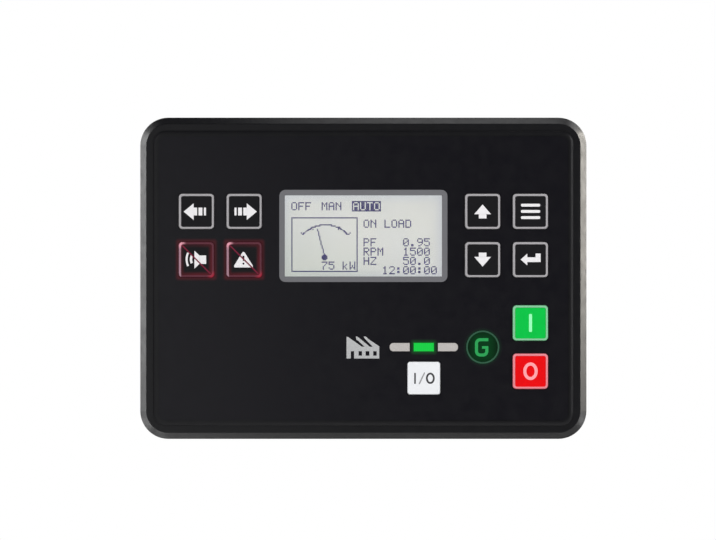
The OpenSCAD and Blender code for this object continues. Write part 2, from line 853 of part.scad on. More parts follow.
// One rubber dome: a conical web with a flat top that carries its key. The contact pill inside it
// meets the board at the end of the key's travel.
module dome(w) {
    foot = min(dome_d, w - 2 * dome_edge);
    inner = foot - 2 * web_t;
    hollow = dome_h - dome_top;
    slope = dome_draw / dome_h;
    difference() {
        translate([0, 0, mat_z])
            cylinder(d1 = foot, d2 = foot - dome_draw, h = dome_h);
        translate([0, 0, mat_z - over])
            cylinder(d1 = inner + over * slope, d2 = inner - hollow * slope, h = hollow + over);
    }
    translate([0, 0, board_z + key_travel])
        cylinder(d = pill_d, h = key_back_z - board_z - key_travel);
}

module keypad_mat() {
    color("#3a3a3c")
        difference() {
            union() {
                difference() {
                    slab(board_w, board_h, cavity_r, board_z, mat_z);
                    for (k = KEYS)
                        translate([k[1], k[2], board_z - over])
                            cylinder(
                                d = min(dome_d, k[3] - 2 * dome_edge) - 2 * web_t,
                                h = mat_t + 2 * over
                            );
                }
                for (k = KEYS)
                    translate([k[1], k[2], 0])
                        dome(k[3]);
            }
            at_posts()
                translate([0, 0, board_z - over])
                    cylinder(d = post_d + 2 * post_gap, h = mat_t + 2 * over);
            at_spacers()
                translate([0, 0, board_z - over])
                    cylinder(d = spacer_af + 2 * cell_gap, h = mat_t + 2 * over);
            translate([0, window_y - flex_room / 2, 0])
                box(
                    cell_w + 2 * cell_gap, cell_h + 2 * cell_gap + flex_room,
                    board_z - over, mat_z + over
                );
            for (p = LEDS)
                translate([p[0], p[1], 0])
                    box(led_w + 2 * led_gap, led_l + 2 * led_gap, board_z - over, mat_z + over);
        }
}

module board_form(z0) {
    difference() {
        slab(board_w, board_h, cavity_r, z0, z0 + board_t);
        at_posts()
            translate([0, 0, z0 - over])
                cylinder(d = post_d + 2 * post_gap, h = board_t + 2 * over);
        at_spacers()
            translate([0, 0, z0 - over])
                cylinder(d = screw_d + hole_gap, h = board_t + 2 * over);
    }
}

module front_board() {
    color("#1f5a3a")
        board_form(board_back_z);
}

module main_board() {
    color("#1f5a3a")
        board_form(main_back_z);
}

// Rear glass with the front glass on it; the strip left bare at the foot takes the flexible cable
module display_cell() {
    color("#c9cdc8")
        translate([0, window_y, 0]) {
            box(cell_w, cell_h, cell_z - 2 * glass_t, cell_z - glass_t);
            translate([0, cell_ledge / 2, 0])
                box(cell_w, cell_h - cell_ledge, cell_z - glass_t, cell_z);
        }
}

module display_backlight() {
    color("#f4f4ee")
        translate([0, window_y, 0])
            box(cell_w, cell_h, board_z, cell_z - 2 * glass_t);
}

// The cable leaves the bare strip of glass, turns round the display's foot and lies on the board
module display_flex() {
    low = board_z;
    high = cell_z - glass_t + flex_t;
    r = (high - low) / 2;
    foot = window_y - cell_h / 2;
    color("#b5762c")
        along_x(flex_w) {
            difference() {
                translate([foot - flex_out, low + r])
                    circle(r);
                translate([foot - flex_out, low + r])
                    circle(r - flex_t);
                translate([foot - flex_out, low - over])
                    square([2 * r, 2 * r + 2 * over]);
            }
            translate([foot - flex_out, high - flex_t])
                square([cell_ledge - flex_end + flex_out, flex_t]);
            translate([foot - flex_out, low])
                square([flex_out - lip_gap, flex_t]);
        }
}

module board_spacers() {
    color("#b9bcc0")
        at_spacers()
            difference() {
                union() {
                    translate([0, 0, main_z])
                        cylinder(d = spacer_af / cos(30), h = spacer_h, $fn = 6);
                    translate([0, 0, board_back_z - over])
                        cylinder(d = screw_d, h = over + board_t + reach);
                }
                translate([0, 0, main_z - over])
                    cylinder(d = screw_d + thread_gap, h = board_screw_l + hole_room + over);
            }
}

module board_screws() {
    color("#c8cacc")
        at_spacers()
            difference() {
                union() {
                    translate([0, 0, main_back_z - head_h])
                        cylinder(d = head_d, h = head_h);
                    translate([0, 0, main_back_z - sink])
                        cylinder(d = screw_d, h = board_t + board_screw_l + sink);
                }
                box(
                    head_d + over, slot_w,
                    main_back_z - head_h - over, main_back_z - head_h + slot_d
                );
            }
}

// Socket on the front board and pin header on the main board, which meet between the boards
module link_socket() {
    color("#26262a")
        translate([link_x, link_y, 0])
            box(link_l, link_w, board_back_z - link_h, board_back_z);
}

module link_header() {
    color("#2e2e33")
        translate([link_x, link_y, 0])
            box(link_l, link_w, main_z, board_back_z - link_h);
}

module processor() {
    color("#2a2a2d")
        translate([chip_x, chip_y, 0])
            box(chip_w, chip_w, main_z, main_z + chip_h);
}

module relays() {
    color("#2b3a66")
        for (i = [-1, 0, 1])
            translate([relay_x + i * relay_pitch, tall_y, 0])
                box(relay_l, relay_w, main_back_z - relay_h, main_back_z);
}

module capacitors() {
    color("#30333f")
        for (s = [-1, 1])
            translate([can_x + s * can_pitch / 2, tall_y, main_back_z - can_h])
                cylinder(d = can_d, h = can_h);
}

module choke() {
    color("#4c4c50")
        translate([choke_x, tall_y, 0])
            slab(choke_w, choke_w, choke_r, main_back_z - choke_h, main_back_z);
}

module battery_holder() {
    color("#222225")
        translate([coin_x, coin_y, main_z])
            difference() {
                cylinder(
                    d = coin_d + 2 * (coin_gap + holder_wall),
                    h = holder_floor + coin_t + holder_rise
                );
                translate([0, 0, holder_floor])
                    cylinder(d = coin_d + 2 * coin_gap, h = coin_t + holder_rise + over);
            }
}

module clock_battery() {
    color("#c9ccd0")
        translate([coin_x, coin_y, main_z + holder_floor])
            cylinder(d = coin_d, h = coin_t);
}

// Shell with a wide box in front, a lower middle block behind it and ledges for the terminals
module rear_housing() {
    color("#232326")
        difference() {
            union() {
                difference() {
                    union() {
                        soft_tub(body_w, body_h, body_r, ledge_z, flange_z, housing_edge_r);
                        soft_tub(block_w, block_h, body_r, block_z, ledge_z + wall, housing_edge_r);
                    }
                    slab(
                        body_w - 2 * wall, body_h - 2 * wall, inner_r,
                        ledge_z + wall, flange_z + over
                    );
                    slab(
                        block_w - 2 * wall, block_h - 2 * wall, inner_r,
                        block_z + wall, ledge_z + wall + over
                    );
                }
                at_posts()
                    translate([0, 0, ledge_z + wall - sink])
                        cylinder(d = post_d, h = flange_z - ledge_z - wall + sink);
            }
            at_posts() {
                translate([0, 0, ledge_z - over])
                    cylinder(d = screw_d + hole_gap, h = flange_z - ledge_z + 2 * over);
                translate([0, 0, ledge_z - over])
                    cylinder(d = head_d + 2 * hole_gap, h = head_h + hole_room + over);
            }
            for (t = TERMINALS)
                at_terminal(t)
                    box(
                        header_len(t) + 2 * header_gap, header_w + 2 * header_gap,
                        -over, wall + header_proud + over
                    );
            translate([usb_x, -row_y, mouth_z])
                box(usb_w + 2 * header_gap, usb_h + 2 * header_gap, -over, wall + header_proud + over);
            for (i = [0:vent_count - 1])
                translate([(i - (vent_count - 1) / 2) * vent_pitch, 0, 0])
                    slab(vent_w, vent_l, vent_w / 2 - 0.2, block_z - over, block_z + wall + over);
            at_clamps()
                for (y = HOOKS)
                    translate([-wall - over, y - hook_w / 2 - hook_gap, -clamp_back - slot_l])
                        cube([wall + 2 * over, hook_w + 2 * hook_gap, slot_l]);
        }
}

module housing_screws() {
    seat = ledge_z + head_h + hole_room;
    color("#c8cacc")
        at_posts()
            difference() {
                union() {
                    translate([0, 0, seat - head_h])
                        cylinder(d = head_d, h = head_h);
                    translate([0, 0, seat - sink])
                        cylinder(d = screw_d, h = flange_z + reach - seat + sink);
                }
                box(head_d + over, slot_w, seat - head_h - over, seat - head_h + slot_d);
                box(slot_w, head_d + over, seat - head_h - over, seat - head_h + slot_d);
            }
}

module header(t) {
    inner = t[1] * t[2] + 2 * plug_gap;
    color("#2f7d46")
        at_terminal(t)
            difference() {
                box(header_len(t), header_w, 0, header_h);
                box(inner, header_w - 2 * header_wall, -over, header_h - header_floor);
                at_contacts(t)
                    box(pin_w, pin_w, 0, header_h + over);
            }
}

module terminal_pins() {
    color("#c9b56a")
        for (t = TERMINALS)
            at_terminal(t)
                at_contacts(t)
                    box(pin_w, pin_w, pin_sunk, header_h);
}

// Plug: a nose in the header, wire entries at the rear and clamping screws on the outer side
module plug(t) {
    color("#3a9a57")
        at_terminal(t)
            difference() {
                along_x(t[1] * t[2])
                    polygon([
                        [-nose_y / 2, nose_l],
                        [-nose_y / 2, -mouth_gap],
                        [-plug_in, -mouth_gap],
                        [-plug_in, -plug_l],
                        [plug_out - slope_y, -plug_l],
                        [plug_out, -plug_l + slope_z],
                        [plug_out, -mouth_gap],
                        [nose_y / 2, -mouth_gap],
                        [nose_y / 2, nose_l],
                    ]);
                at_contacts(t) {
                    box(
                        pin_w + 2 * pin_gap, pin_w + 2 * pin_gap,
                        pin_sunk - hole_room, nose_l + over
                    );
                    translate([0, -wire_in, 0])
                        box(wire_w, wire_h, -plug_l - over, -plug_l + wire_depth);
                    translate([0, plug_out - well_depth, -well_z])
                        rotate([-90, 0, 0])
                            cylinder(d = well_d, h = well_depth + over);
                }
            }
}

module terminal_screws() {
    color("#c8cacc")
        for (t = TERMINALS)
            at_terminal(t)
                at_contacts(t)
                    translate([0, plug_out - well_depth, -well_z])
                        rotate([-90, 0, 0])
                            difference() {
                                cylinder(d = well_d - 2 * thread_gap, h = clamping_h);
                                box(
                                    well_d + over, clamping_slot,
                                    clamping_h - slot_d, clamping_h + over
                                );
                            }
}

module usb_socket() {
    color("#bfc2c6")
        translate([usb_x, -row_y, mouth_z])
            difference() {
                box(usb_w, usb_h, 0, header_h);
                difference() {
                    box(port_w, port_h, -over, header_h - port_floor);
                    for (s = [-1, 1])
                        translate([s * port_w / 2, port_h / 2, 0])
                            rotate(45)
                                box(port_slant, port_slant, -2 * over, header_h);
                }
            }
}

module usb_tongue() {
    color("#f0f0ec")
        translate([usb_x, -row_y, mouth_z])
            box(tongue_w, tongue_h, tongue_sunk, header_h - port_floor);
}

// Clamp: a block on the housing's side whose two hooks reach through the wall and grip behind it
module panel_clamps() {
    color("#3a3a3e")
        at_clamps()
            difference() {
                union() {
                    translate([lip_gap, -clamp_w / 2, -clamp_back - clamp_l])
                        cube([clamp_t - lip_gap, clamp_w, clamp_l]);
                    for (y = HOOKS)
                        translate([grip_x, y - hook_w / 2, -clamp_back - hook_back - hook_t]) {
                            cube([sink - grip_x, hook_w, hook_t]);
                            translate([0, 0, hook_t - hook_l])
                                cube([hook_grip, hook_w, hook_l]);
                        }
                }
                translate([clamp_mid, 0, -clamp_back - clamp_l - over])
                    cylinder(d = screw_d + thread_gap, h = clamp_l + 2 * over);
            }
}

module clamp_screws() {
    back = -clamp_back - clamp_l - clamp_screw_out;
    tip = -panel_t - foot_l + foot_hole;
    color("#c8cacc")
        at_clamps()
            translate([clamp_mid, 0, 0])
                difference() {
                    union() {
                        translate([0, 0, back])
                            cylinder(d = screw_d, h = tip - back);
                        translate([0, 0, back - clamp_head_h])
                            cylinder(d = clamp_head_d, h = clamp_head_h + sink);
                    }
                    box(
                        clamp_head_d + over, slot_w,
                        back - clamp_head_h - over, back - clamp_head_h + slot_d
                    );
                }
}

module clamp_feet() {
    color("#1d1d20")
        at_clamps()
            translate([clamp_mid, 0, 0])
                difference() {
                    translate([0, 0, -panel_t - foot_l])
                        cylinder(d = foot_d, h = foot_l);
                    translate([0, 0, -panel_t - foot_l - over])
                        cylinder(d = screw_d + thread_gap, h = foot_hole + over);
                }
}

upright() {
    front_frame();
    front_overlay();
    display_window();
    panel_gasket();
    for (k = KEYS)
        push_key(k);
    for (b = BARS)
        bar_lens(b);
    lamp_generator();
    status_leds();
    keypad_mat();
    front_board();
    main_board();
    display_cell();
    display_backlight();
    display_flex();
    board_spacers();
    board_screws();
    link_socket();
    link_header();
    processor();
    relays();
    capacitors();
    choke();
    battery_holder();
    clock_battery();
    rear_housing();
    housing_screws();
    for (t = TERMINALS)
        header(t);
    for (t = TERMINALS)
        plug(t);
    terminal_pins();
    terminal_screws();
    usb_socket();
    usb_tongue();
    panel_clamps();
    clamp_screws();
    clamp_feet();
}
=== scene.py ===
"""Dresses a panel-mounted genset controller: finishes, key faces, symbols, display and light."""

import json
import logging
import math
from dataclasses import dataclass, field, replace
from enum import Enum
from typing import Any, Dict, List, Optional, Sequence, Set, Tuple, Union

import bpy
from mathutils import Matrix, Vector


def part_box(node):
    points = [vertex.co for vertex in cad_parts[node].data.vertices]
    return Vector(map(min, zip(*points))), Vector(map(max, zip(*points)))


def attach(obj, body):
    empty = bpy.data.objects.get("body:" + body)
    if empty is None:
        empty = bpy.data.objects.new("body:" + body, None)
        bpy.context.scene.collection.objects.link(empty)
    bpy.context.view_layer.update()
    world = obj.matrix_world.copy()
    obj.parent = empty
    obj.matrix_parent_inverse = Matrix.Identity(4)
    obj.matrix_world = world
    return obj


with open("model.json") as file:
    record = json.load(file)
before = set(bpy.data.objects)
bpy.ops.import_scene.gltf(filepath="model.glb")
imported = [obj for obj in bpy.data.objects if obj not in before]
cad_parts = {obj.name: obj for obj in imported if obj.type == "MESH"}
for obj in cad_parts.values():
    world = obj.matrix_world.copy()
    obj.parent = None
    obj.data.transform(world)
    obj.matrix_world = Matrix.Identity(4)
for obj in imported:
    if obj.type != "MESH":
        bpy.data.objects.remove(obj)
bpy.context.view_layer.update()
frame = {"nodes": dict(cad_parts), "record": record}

MM = 0.001
BODY = "controller"
FRONT_TURN = math.radians(90)
SLOTS: Dict[str, str] = {p["node"]: p["material_slot"] for p in frame["record"]["subparts"]}

Tree = bpy.types.NodeTree
Node = bpy.types.Node
Socket = bpy.types.NodeSocket
Piece = bpy.types.Object
Pair = Tuple[float, float]
Dot = Tuple[int, int]
Source = Union[Socket, str]
Settings = Dict[Any, Any]

# Inputs of a range node, and inputs and output of a node that mixes two colours
RANGE = ("From Min", "From Max", "To Min", "To Max")
FACTOR, UNDER, OVER, MIXED = 0, 6, 7, 2
RGB_MIX = {"data_type": "RGBA"}
SMOOTH = {"interpolation_type": "SMOOTHSTEP"}
# Most values of a noise texture lie between these
NOISE_SPAN = (0.3, 0.7)
# Length of one wave of the wave texture at a scale of one
WAVE_LENGTH = math.pi / 10
BLACK = "#000000"
# Half size in metres that no point of the part goes past
NO_LIMIT = 1.0

log = logging.getLogger("genset_controller")


def linear(code: str) -> Tuple[float, float, float, float]:
    """Turns an sRGB hex colour into linear light.

    Args:
        code: Colour as "#rrggbb".

    Returns:
        Red, green, blue and an alpha of 1, in linear light.
    """
    parts = [int(code[i : i + 2], 16) / 255 for i in (1, 3, 5)]
    light = [c / 12.92 if c <= 0.04045 else ((c + 0.055) / 1.055) ** 2.4 for c in parts]
    return light[0], light[1], light[2], 1.0


def per_mm(size: float) -> float:
    """Gives the texture scale at which a pattern's features are so many millimetres wide."""
    return 1 / (size * MM)


def add(
    tree: Tree,
    kind: str,
    settings: Optional[Settings] = None,
    links: Optional[Dict[Any, Source]] = None,
) -> Node:
    """Adds a node, sets it and links its inputs.

    Args:
        tree: Node tree that takes the node.
        kind: Blender's name of the node type, after "ShaderNode".
        settings: Property names, or input names or numbers, with their values.
        links: Input names or numbers with the outputs, or hex colours, that feed them.

    Returns:
        The new node.
    """
    node = tree.nodes.new("ShaderNode" + kind)
    for name, value in (settings or {}).items():
        if isinstance(name, str) and name not in node.inputs:
            setattr(node, name, value)
        else:
            node.inputs[name].default_value = value
    for name, source in (links or {}).items():
        if isinstance(source, str):
            node.inputs[name].default_value = linear(source)
        else:
            tree.links.new(source, node.inputs[name])
    return node


@dataclass(frozen=True)
class Halo:
    """A colour on an upright rectangle of the front, which fades out round it."""

    centre: Vector
    half: Vector
    reach_mm: float
    colour: str
    start_mm: float = 0.0


@dataclass(frozen=True)
class Surface:
    """A material in the making: its nodes, its shader and the coordinates on the piece."""

    tree: Tree
    shader: Node
    place: Socket

    def feed(self, name: str, output: Source) -> None:
        """Links an output to an input of the shader."""
        self.tree.links.new(output, self.shader.inputs[name])

    def along(self, centre: Vector, way: Sequence[float]) -> Socket:
        """Measures how far a point lies from a centre in one direction.

        Args:
            centre: Where the measure is nothing.
            way: The direction, whose length scales the measure.

        Returns:
            The measure.
        """
        shift = {"operation": "SUBTRACT", 1: centre}
        offset = add(self.tree, "VectorMath", shift, {0: self.place}).outputs[0]
        dot = {"operation": "DOT_PRODUCT", 1: way}
        return add(self.tree, "VectorMath", dot, {0: offset}).outputs["Value"]

    def outside(self, centre: Vector, half: Vector) -> Socket:
        """Measures how far a point lies outside an upright rectangle on the front.

        Args:
            centre: Centre of the rectangle.
            half: Half of its width, depth and height.

        Returns:
            The distance in metres.
        """
        value = self.place
        for step in (
            {"operation": "SUBTRACT", 1: centre},
            {"operation": "ABSOLUTE"},
            {"operation": "SUBTRACT", 1: half},
            {"operation": "MAXIMUM", 1: (0, 0, 0)},
            {"operation": "LENGTH"},
        ):
            node = add(self.tree, "VectorMath", step, {0: value})
            value = node.outputs[0]
        return node.outputs["Value"]

    def lay(self, halos: Sequence[Halo], colour: Source) -> Source:
        """Lays halos over a colour.

        Args:
            halos: The halos, from the lowest up.
            colour: Output or hex code of the colour elsewhere.

        Returns:
            The mixed colour, or the same one if there is no halo.
        """
        for halo in halos:
            away = self.outside(halo.centre, halo.half)
            fall = dict(zip(RANGE, (halo.start_mm * MM, halo.reach_mm * MM, 1.0, 0.0)))
            share = add(self.tree, "MapRange", {**SMOOTH, **fall}, {"Value": away}).outputs[0]
            mix = {FACTOR: share, UNDER: colour, OVER: halo.colour}
            colour = add(self.tree, "Mix", RGB_MIX, mix).outputs[MIXED]
        return colour


@dataclass(frozen=True)
class Finish:
    """How one real material looks: colour, gloss, a fine texture and broad patches.

    Sizes are in millimetres. The fine texture is drawn no finer than the render can show.
    """

    name: str
    colour: str
    roughness: float = 0.5
    metallic: float = 0.0
    ior: float = 1.5
    specular: float = 0.5
    grain: float = 0.5
    relief: float = 0.004
    patch: float = 0.12
    patch_size: float = 9.0
    rough_spread: float = 0.05
    rough_share: float = 0.4
    transmission: float = 0.0
    glow: str = BLACK
    power: float = 0.0
    edge: float = 0.0
    edge_samples: int = 6
    stretch: Tuple[float, float, float] = (1.0, 1.0, 1.0)
    # Colours laid into the base colour; the alarm key frames use them for painted highlights
    tints: Tuple[Halo, ...] = ()
    halos: Tuple[Halo, ...] = ()

    def build(self) -> bpy.types.Material:
        """Makes the material.

        Returns:
            A new procedural material.
        """
        material = bpy.data.materials.new(self.name)
        material.use_nodes = True
        tree = material.node_tree
        tree.nodes.clear()
        constants = {
            "Metallic": self.metallic,
            "IOR": self.ior,
            "Specular IOR Level": self.specular,
            "Transmission Weight": self.transmission,
            "Emission Strength": self.power,
        }
        shader = add(tree, "BsdfPrincipled", constants, {"Emission Color": self.glow})
        add(tree, "OutputMaterial", links={"Surface": shader.outputs[0]})
        surface = Surface(tree, shader, add(tree, "TexCoord").outputs["Object"])
        self.texture(surface)
        colour = self.marks(surface, self.patches(surface))
        surface.feed("Base Color", surface.lay(self.tints, colour))
        self.light(surface)
        return material

    def texture(self, surface: Surface) -> None:
        """Gives the surface its fine relief, its rounded edges and an uneven gloss.

        Args:
            surface: The material in the making.
        """
        tree = surface.tree
        along = add(tree, "Mapping", {"Scale": self.stretch}, {"Vector": surface.place}).outputs[0]
        noise = {"Scale": per_mm(self.grain), "Detail": 2.0}
        grain = add(tree, "TexNoise", noise, {"Vector": along}).outputs[0]
        depth = {"Strength": 1.0, "Distance": self.relief * MM}
        bump = add(tree, "Bump", depth, {"Height": grain})
        if self.edge > 0:
            rounding = {"samples": self.edge_samples, "Radius": self.edge * MM}
            tree.links.new(add(tree, "Bevel", rounding).outputs[0], bump.inputs["Normal"])
        surface.feed("Normal", bump.outputs[0])
        noise = {"Scale": per_mm(self.patch_size * self.rough_share), "Detail": 3.0}
        wear = add(tree, "TexNoise", noise, {"Vector": along}).outputs[0]
        ends = (self.roughness - self.rough_spread, self.roughness + self.rough_spread)
        gloss = add(tree, "MapRange", dict(zip(RANGE, (*NOISE_SPAN, *ends))), {"Value": wear})
        surface.feed("Roughness", gloss.outputs[0])

    def patches(self, surface: Surface) -> Socket:
        """Shades the colour in broad patches.

        Args:
            surface: The material in the making.

        Returns:
            The colour output.
        """
        noise = {"Scale": per_mm(self.patch_size), "Detail": 4.0}
        cloud = add(surface.tree, "TexNoise", noise, {"Vector": surface.place}).outputs[0]
        base = linear(self.colour)
        dark = tuple(c * (1 - self.patch) for c in base[:3]) + (1.0,)
        colours = {**RGB_MIX, UNDER: base, OVER: dark}
        return add(surface.tree, "Mix", colours, {FACTOR: cloud}).outputs[MIXED]

    def marks(self, surface: Surface, colour: Socket) -> Socket:
        """Draws what the material has besides its patches; a plain finish has nothing."""
        return colour

    def light(self, surface: Surface) -> None:
        """Adds the light of the halos, where the finish has them."""
        if self.halos:
            surface.feed("Emission Color", surface.lay(self.halos, self.glow))


@dataclass(frozen=True)
class LitFace(Finish):
    """Key face whose edge is lit through from behind, most at its lower right corner."""

    centre: Vector = Vector()
    half: float = 6.05
    reach: float = 1.7
    edge_light: str = "#4f0a15"
    low_share: float = 0.3

    def light(self, surface: Surface) -> None:
        """Draws the light along the face's edge.

        Args:
            surface: The material in the making.
        """
        tree = surface.tree
        inner = (self.half - self.reach) * MM
        away = surface.outside(self.centre, Vector((inner, NO_LIMIT, inner)))
        rise = dict(zip(RANGE, (self.reach * MM, 0.0, 1.0, 0.0)))
        edge = add(tree, "MapRange", {**SMOOTH, **rise}, {"Value": away}).outputs[0]
        slope = surface.along(self.centre, (1, 0, -1))
        ends = dict(zip(RANGE, (-self.half * MM, self.half * MM, self.low_share, 1.0)))
        share = add(tree, "MapRange", ends, {"Value": slope}).outputs[0]
        both = add(tree, "Math", {"operation": "MULTIPLY"}, {0: edge, 1: share}).outputs[0]
        mix = {FACTOR: both, UNDER: self.glow, OVER: self.edge_light}
        surface.feed("Emission Color", add(tree, "Mix", RGB_MIX, mix).outputs[MIXED])


@dataclass(frozen=True)
class Lines(Finish):
    """Finish with straight lines across it, such as tracks on a film or the ribs in a lens."""

    line: float = 1.0
    line_colour: str = "#c08a4a"
    share: float = 0.6
    line_edges: Pair = (0.45, 0.55)

    def marks(self, surface: Surface, colour: Socket) -> Socket:
        """Draws the lines.

        Args:
            surface: The material in the making.
            colour: Colour between the lines.

        Returns:
            The colour output.
        """
        tree = surface.tree
        scale = {"Scale": WAVE_LENGTH * per_mm(self.line)}
        wave = add(tree, "TexWave", scale, {"Vector": surface.place}).outputs["Fac"]
        ends = dict(zip(RANGE, (*self.line_edges, 0.0, self.share)))
        band = add(tree, "MapRange", ends, {"Value": wave}).outputs[0]
        mix = {FACTOR: band, UNDER: colour, OVER: self.line_colour}
        return add(tree, "Mix", RGB_MIX, mix).outputs[MIXED]


@dataclass(frozen=True)
class Board(Finish):
    """Circuit board: solder mask over a glass weave, with pale tracks in steps under it."""

    track: float = 3.2
    track_colour: str = "#3b8a58"
    track_width: float = 0.06
    track_run: float = 2.6
    track_step: float = 0.5

    def marks(self, surface: Surface, colour: Socket) -> Socket:
        """Draws the tracks under the mask.

        Args:
            surface: The material in the making.
            colour: Colour of the mask.

        Returns:
            The colour output.
        """
        tree = surface.tree
        turn = {"Rotation": (FRONT_TURN, 0, 0)}
        flat = add(tree, "Mapping", turn, {"Vector": surface.place}).outputs[0]
        pattern = {
            "Scale": per_mm(self.track),
            "Mortar Size": self.track_width,
            "Brick Width": self.track_run,
            "Row Height": self.track_step,
        }
        sources = {"Vector": flat, "Color1": BLACK, "Color2": BLACK, "Mortar": "#ffffff"}
        tracks = add(tree, "TexBrick", pattern, sources).outputs[0]
        mix = {FACTOR: tracks, UNDER: colour, OVER: self.track_colour}
        return add(tree, "Mix", RGB_MIX, mix).outputs[MIXED]


@dataclass(frozen=True)
class GlassCell(Finish):
    """Display glass with its backlight on: dimmer at the edge and far from its diodes."""

    centre: Vector = Vector()
    half: Vector = Vector()
    edge_colour: str = "#d0d1d5"
    edge_reach: float = 4.0
    cloud: float = 16.0
    cloud_share: float = 0.35
    far_colour: str = "#bfc4ba"
    far_share: float = 0.7

    def light(self, surface: Surface) -> None:
        """Shades the backlight towards the edge and the lower left of the field.

        Args:
            surface: The material in the making.
        """
        tree = surface.tree
        reach = self.edge_reach * MM
        away = surface.outside(self.centre, self.half - Vector((reach, 0, reach)))
        rim = add(tree, "MapRange", {"From Min": 0.0, "From Max": reach}, {"Value": away})
        noise = {"Scale": per_mm(self.cloud), "Detail": 1.0}
        cloud = add(tree, "TexNoise", noise, {"Vector": surface.place}).outputs[0]
        ends = dict(zip(RANGE, (*NOISE_SPAN, 0.0, self.cloud_share)))
        uneven = add(tree, "MapRange", ends, {"Value": cloud}).outputs[0]
        both = add(tree, "Math", {"operation": "MAXIMUM"}, {0: rim.outputs[0], 1: uneven})
        mix = {FACTOR: both.outputs[0], UNDER: self.glow, OVER: self.edge_colour}
        glow = add(tree, "Mix", RGB_MIX, mix).outputs[MIXED]
        # Nothing at the middle, two at the lower left corner
        way = surface.along(self.centre, (-1 / self.half.x, 0, -1 / self.half.z))
        ends = dict(zip(RANGE, (0.0, 2.0, 0.0, self.far_share)))
        far = add(tree, "MapRange", ends, {"Value": way}).outputs[0]
        mix = {FACTOR: far, UNDER: glow, OVER: self.far_colour}
        surface.feed("Emission Color", add(tree, "Mix", RGB_MIX, mix).outputs[MIXED])


def front_centre(node: str, level: float = 0.0) -> Vector:
    """Gives the middle of a node as seen from the front, at some level of the depth."""
    low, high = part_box(node)
    return Vector(((low.x + high.x) / 2, level, (low.z + high.z) / 2))


def half_size(node: str, lip_mm: float = 0.0) -> Vector:
    """Gives half of a node's width and height.

    Args:
        node: Name of the CAD node.
        lip_mm: Width that is left out on each side, such as a hidden lip.

    Returns:
        Half sizes, with a depth that no point leaves.
    """
    low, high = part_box(node)
    lip = lip_mm * MM
    return Vector(((high.x - low.x) / 2 - lip, NO_LIMIT, (high.z - low.z) / 2 - lip))


ALARM_KEYS = ("key_horn_reset", "key_fault_reset")
PLAIN_KEY = "key_breaker"
KEY_LIP_MM = 1.2
LAMP_LIP_MM = 0.7
WINDOW_BORDER_MM = 2.2
SPILL_MM = 1.8
INK_MM = 0.04

LAMP = front_centre("lamp_generator")
LAMP_SPOT = Vector((1.6 * MM, NO_LIMIT, 2.6 * MM))
LAMP_GLOW = Halo(LAMP, LAMP_SPOT, reach_mm=6.0, colour="#023314")
LAMP_BAR = half_size("lamp_breaker", LAMP_LIP_MM)
# Light that lit keys and lamps spill on the sheet round them
SPILL: Tuple[Halo, ...] = (
    *(Halo(front_centre(k), half_size(k, KEY_LIP_MM), SPILL_MM, "#3e060e") for k in ALARM_KEYS),
    Halo(front_centre("lamp_breaker"), LAMP_BAR, SPILL_MM, "#0a4218"),
    Halo(LAMP, Vector((0, NO_LIMIT, 0)), reach_mm=8.0, colour="#04200f", start_mm=6.0),
)

# Values that finishes of one kind share
CAP = {"roughness": 0.45, "specular": 0.3, "relief": 0.003, "edge": 0.15, "patch": 0.06}
LENS = {"roughness": 0.45, "grain": 0.6, "patch": 0.05, "line": 0.8, "share": 0.4}
GROUND = {"roughness": 0.6, "grain": 0.6, "relief": 0.003, "patch": 0.1}
SCREEN = {"roughness": 0.6, "specular": 0.15}
LIT = {"roughness": 0.55, "specular": 0.15}


class Ink(Enum):
    """What is printed on the keys, the sheet and the window, and what the display switches."""

    # Screen-printed inks: flat, with a faint edge and the grain of the mesh
    WHITE = Finish("white_screen_ink", "#e6e4e6", patch=0.03, **SCREEN)
    GREY = Finish("grey_screen_ink", "#b2b3b4", patch=0.05, **SCREEN)
    PALE_GREY = Finish("pale_grey_screen_ink", "#98989a", patch=0.05, **SCREEN)
    DARK = Finish("dark_screen_ink", "#434346", patch=0.1, **SCREEN)
    PALE_GREEN = Finish("pale_green_ink", "#98ffba", patch=0.04, **SCREEN)
    PALE_RED = Finish("pale_red_ink", "#ffa2a8", patch=0.04, **SCREEN)
    # Border ink: even grey with a little gloss
    BORDER = Finish(
        "grey_border_ink", "#6c6c70", 0.55, specular=0.2, grain=0.6, relief=0.003, patch=0.05
    )
    # Translucent inks: dark, with light coming through them
    STRIKE = Finish(
        "red_translucent_ink", "#701c34", relief=0.003, patch=0.08, glow="#3a0610", power=0.3, **LIT
    )
    RING = Finish("dim_green_ink", "#2e5642", glow="#123a22", power=0.25, **LIT)
    LETTER = Finish("lit_green_ink", "#1d7a3f", patch=0.1, glow="#30ba60", power=0.33, **LIT)
    # Grounds that fill a key's face: full colour, nearly without gloss
    BLACK_GROUND = Finish("black_printed_face", "#151418", specular=0.2, **GROUND)
    GREEN_GROUND = Finish("green_printed_face", "#02c045", specular=0.08, patch_size=5.0, **GROUND)
    RED_GROUND = Finish("red_printed_face", "#e6020a", specular=0.08, patch_size=5.0, **GROUND)
    # Switched liquid crystal: violet-grey, seen through the front glass
    CRYSTAL = Finish(
        "switched_liquid_crystal", "#251b78", relief=0.001, patch=0.1, glow="#21186c", power=0.5
    )


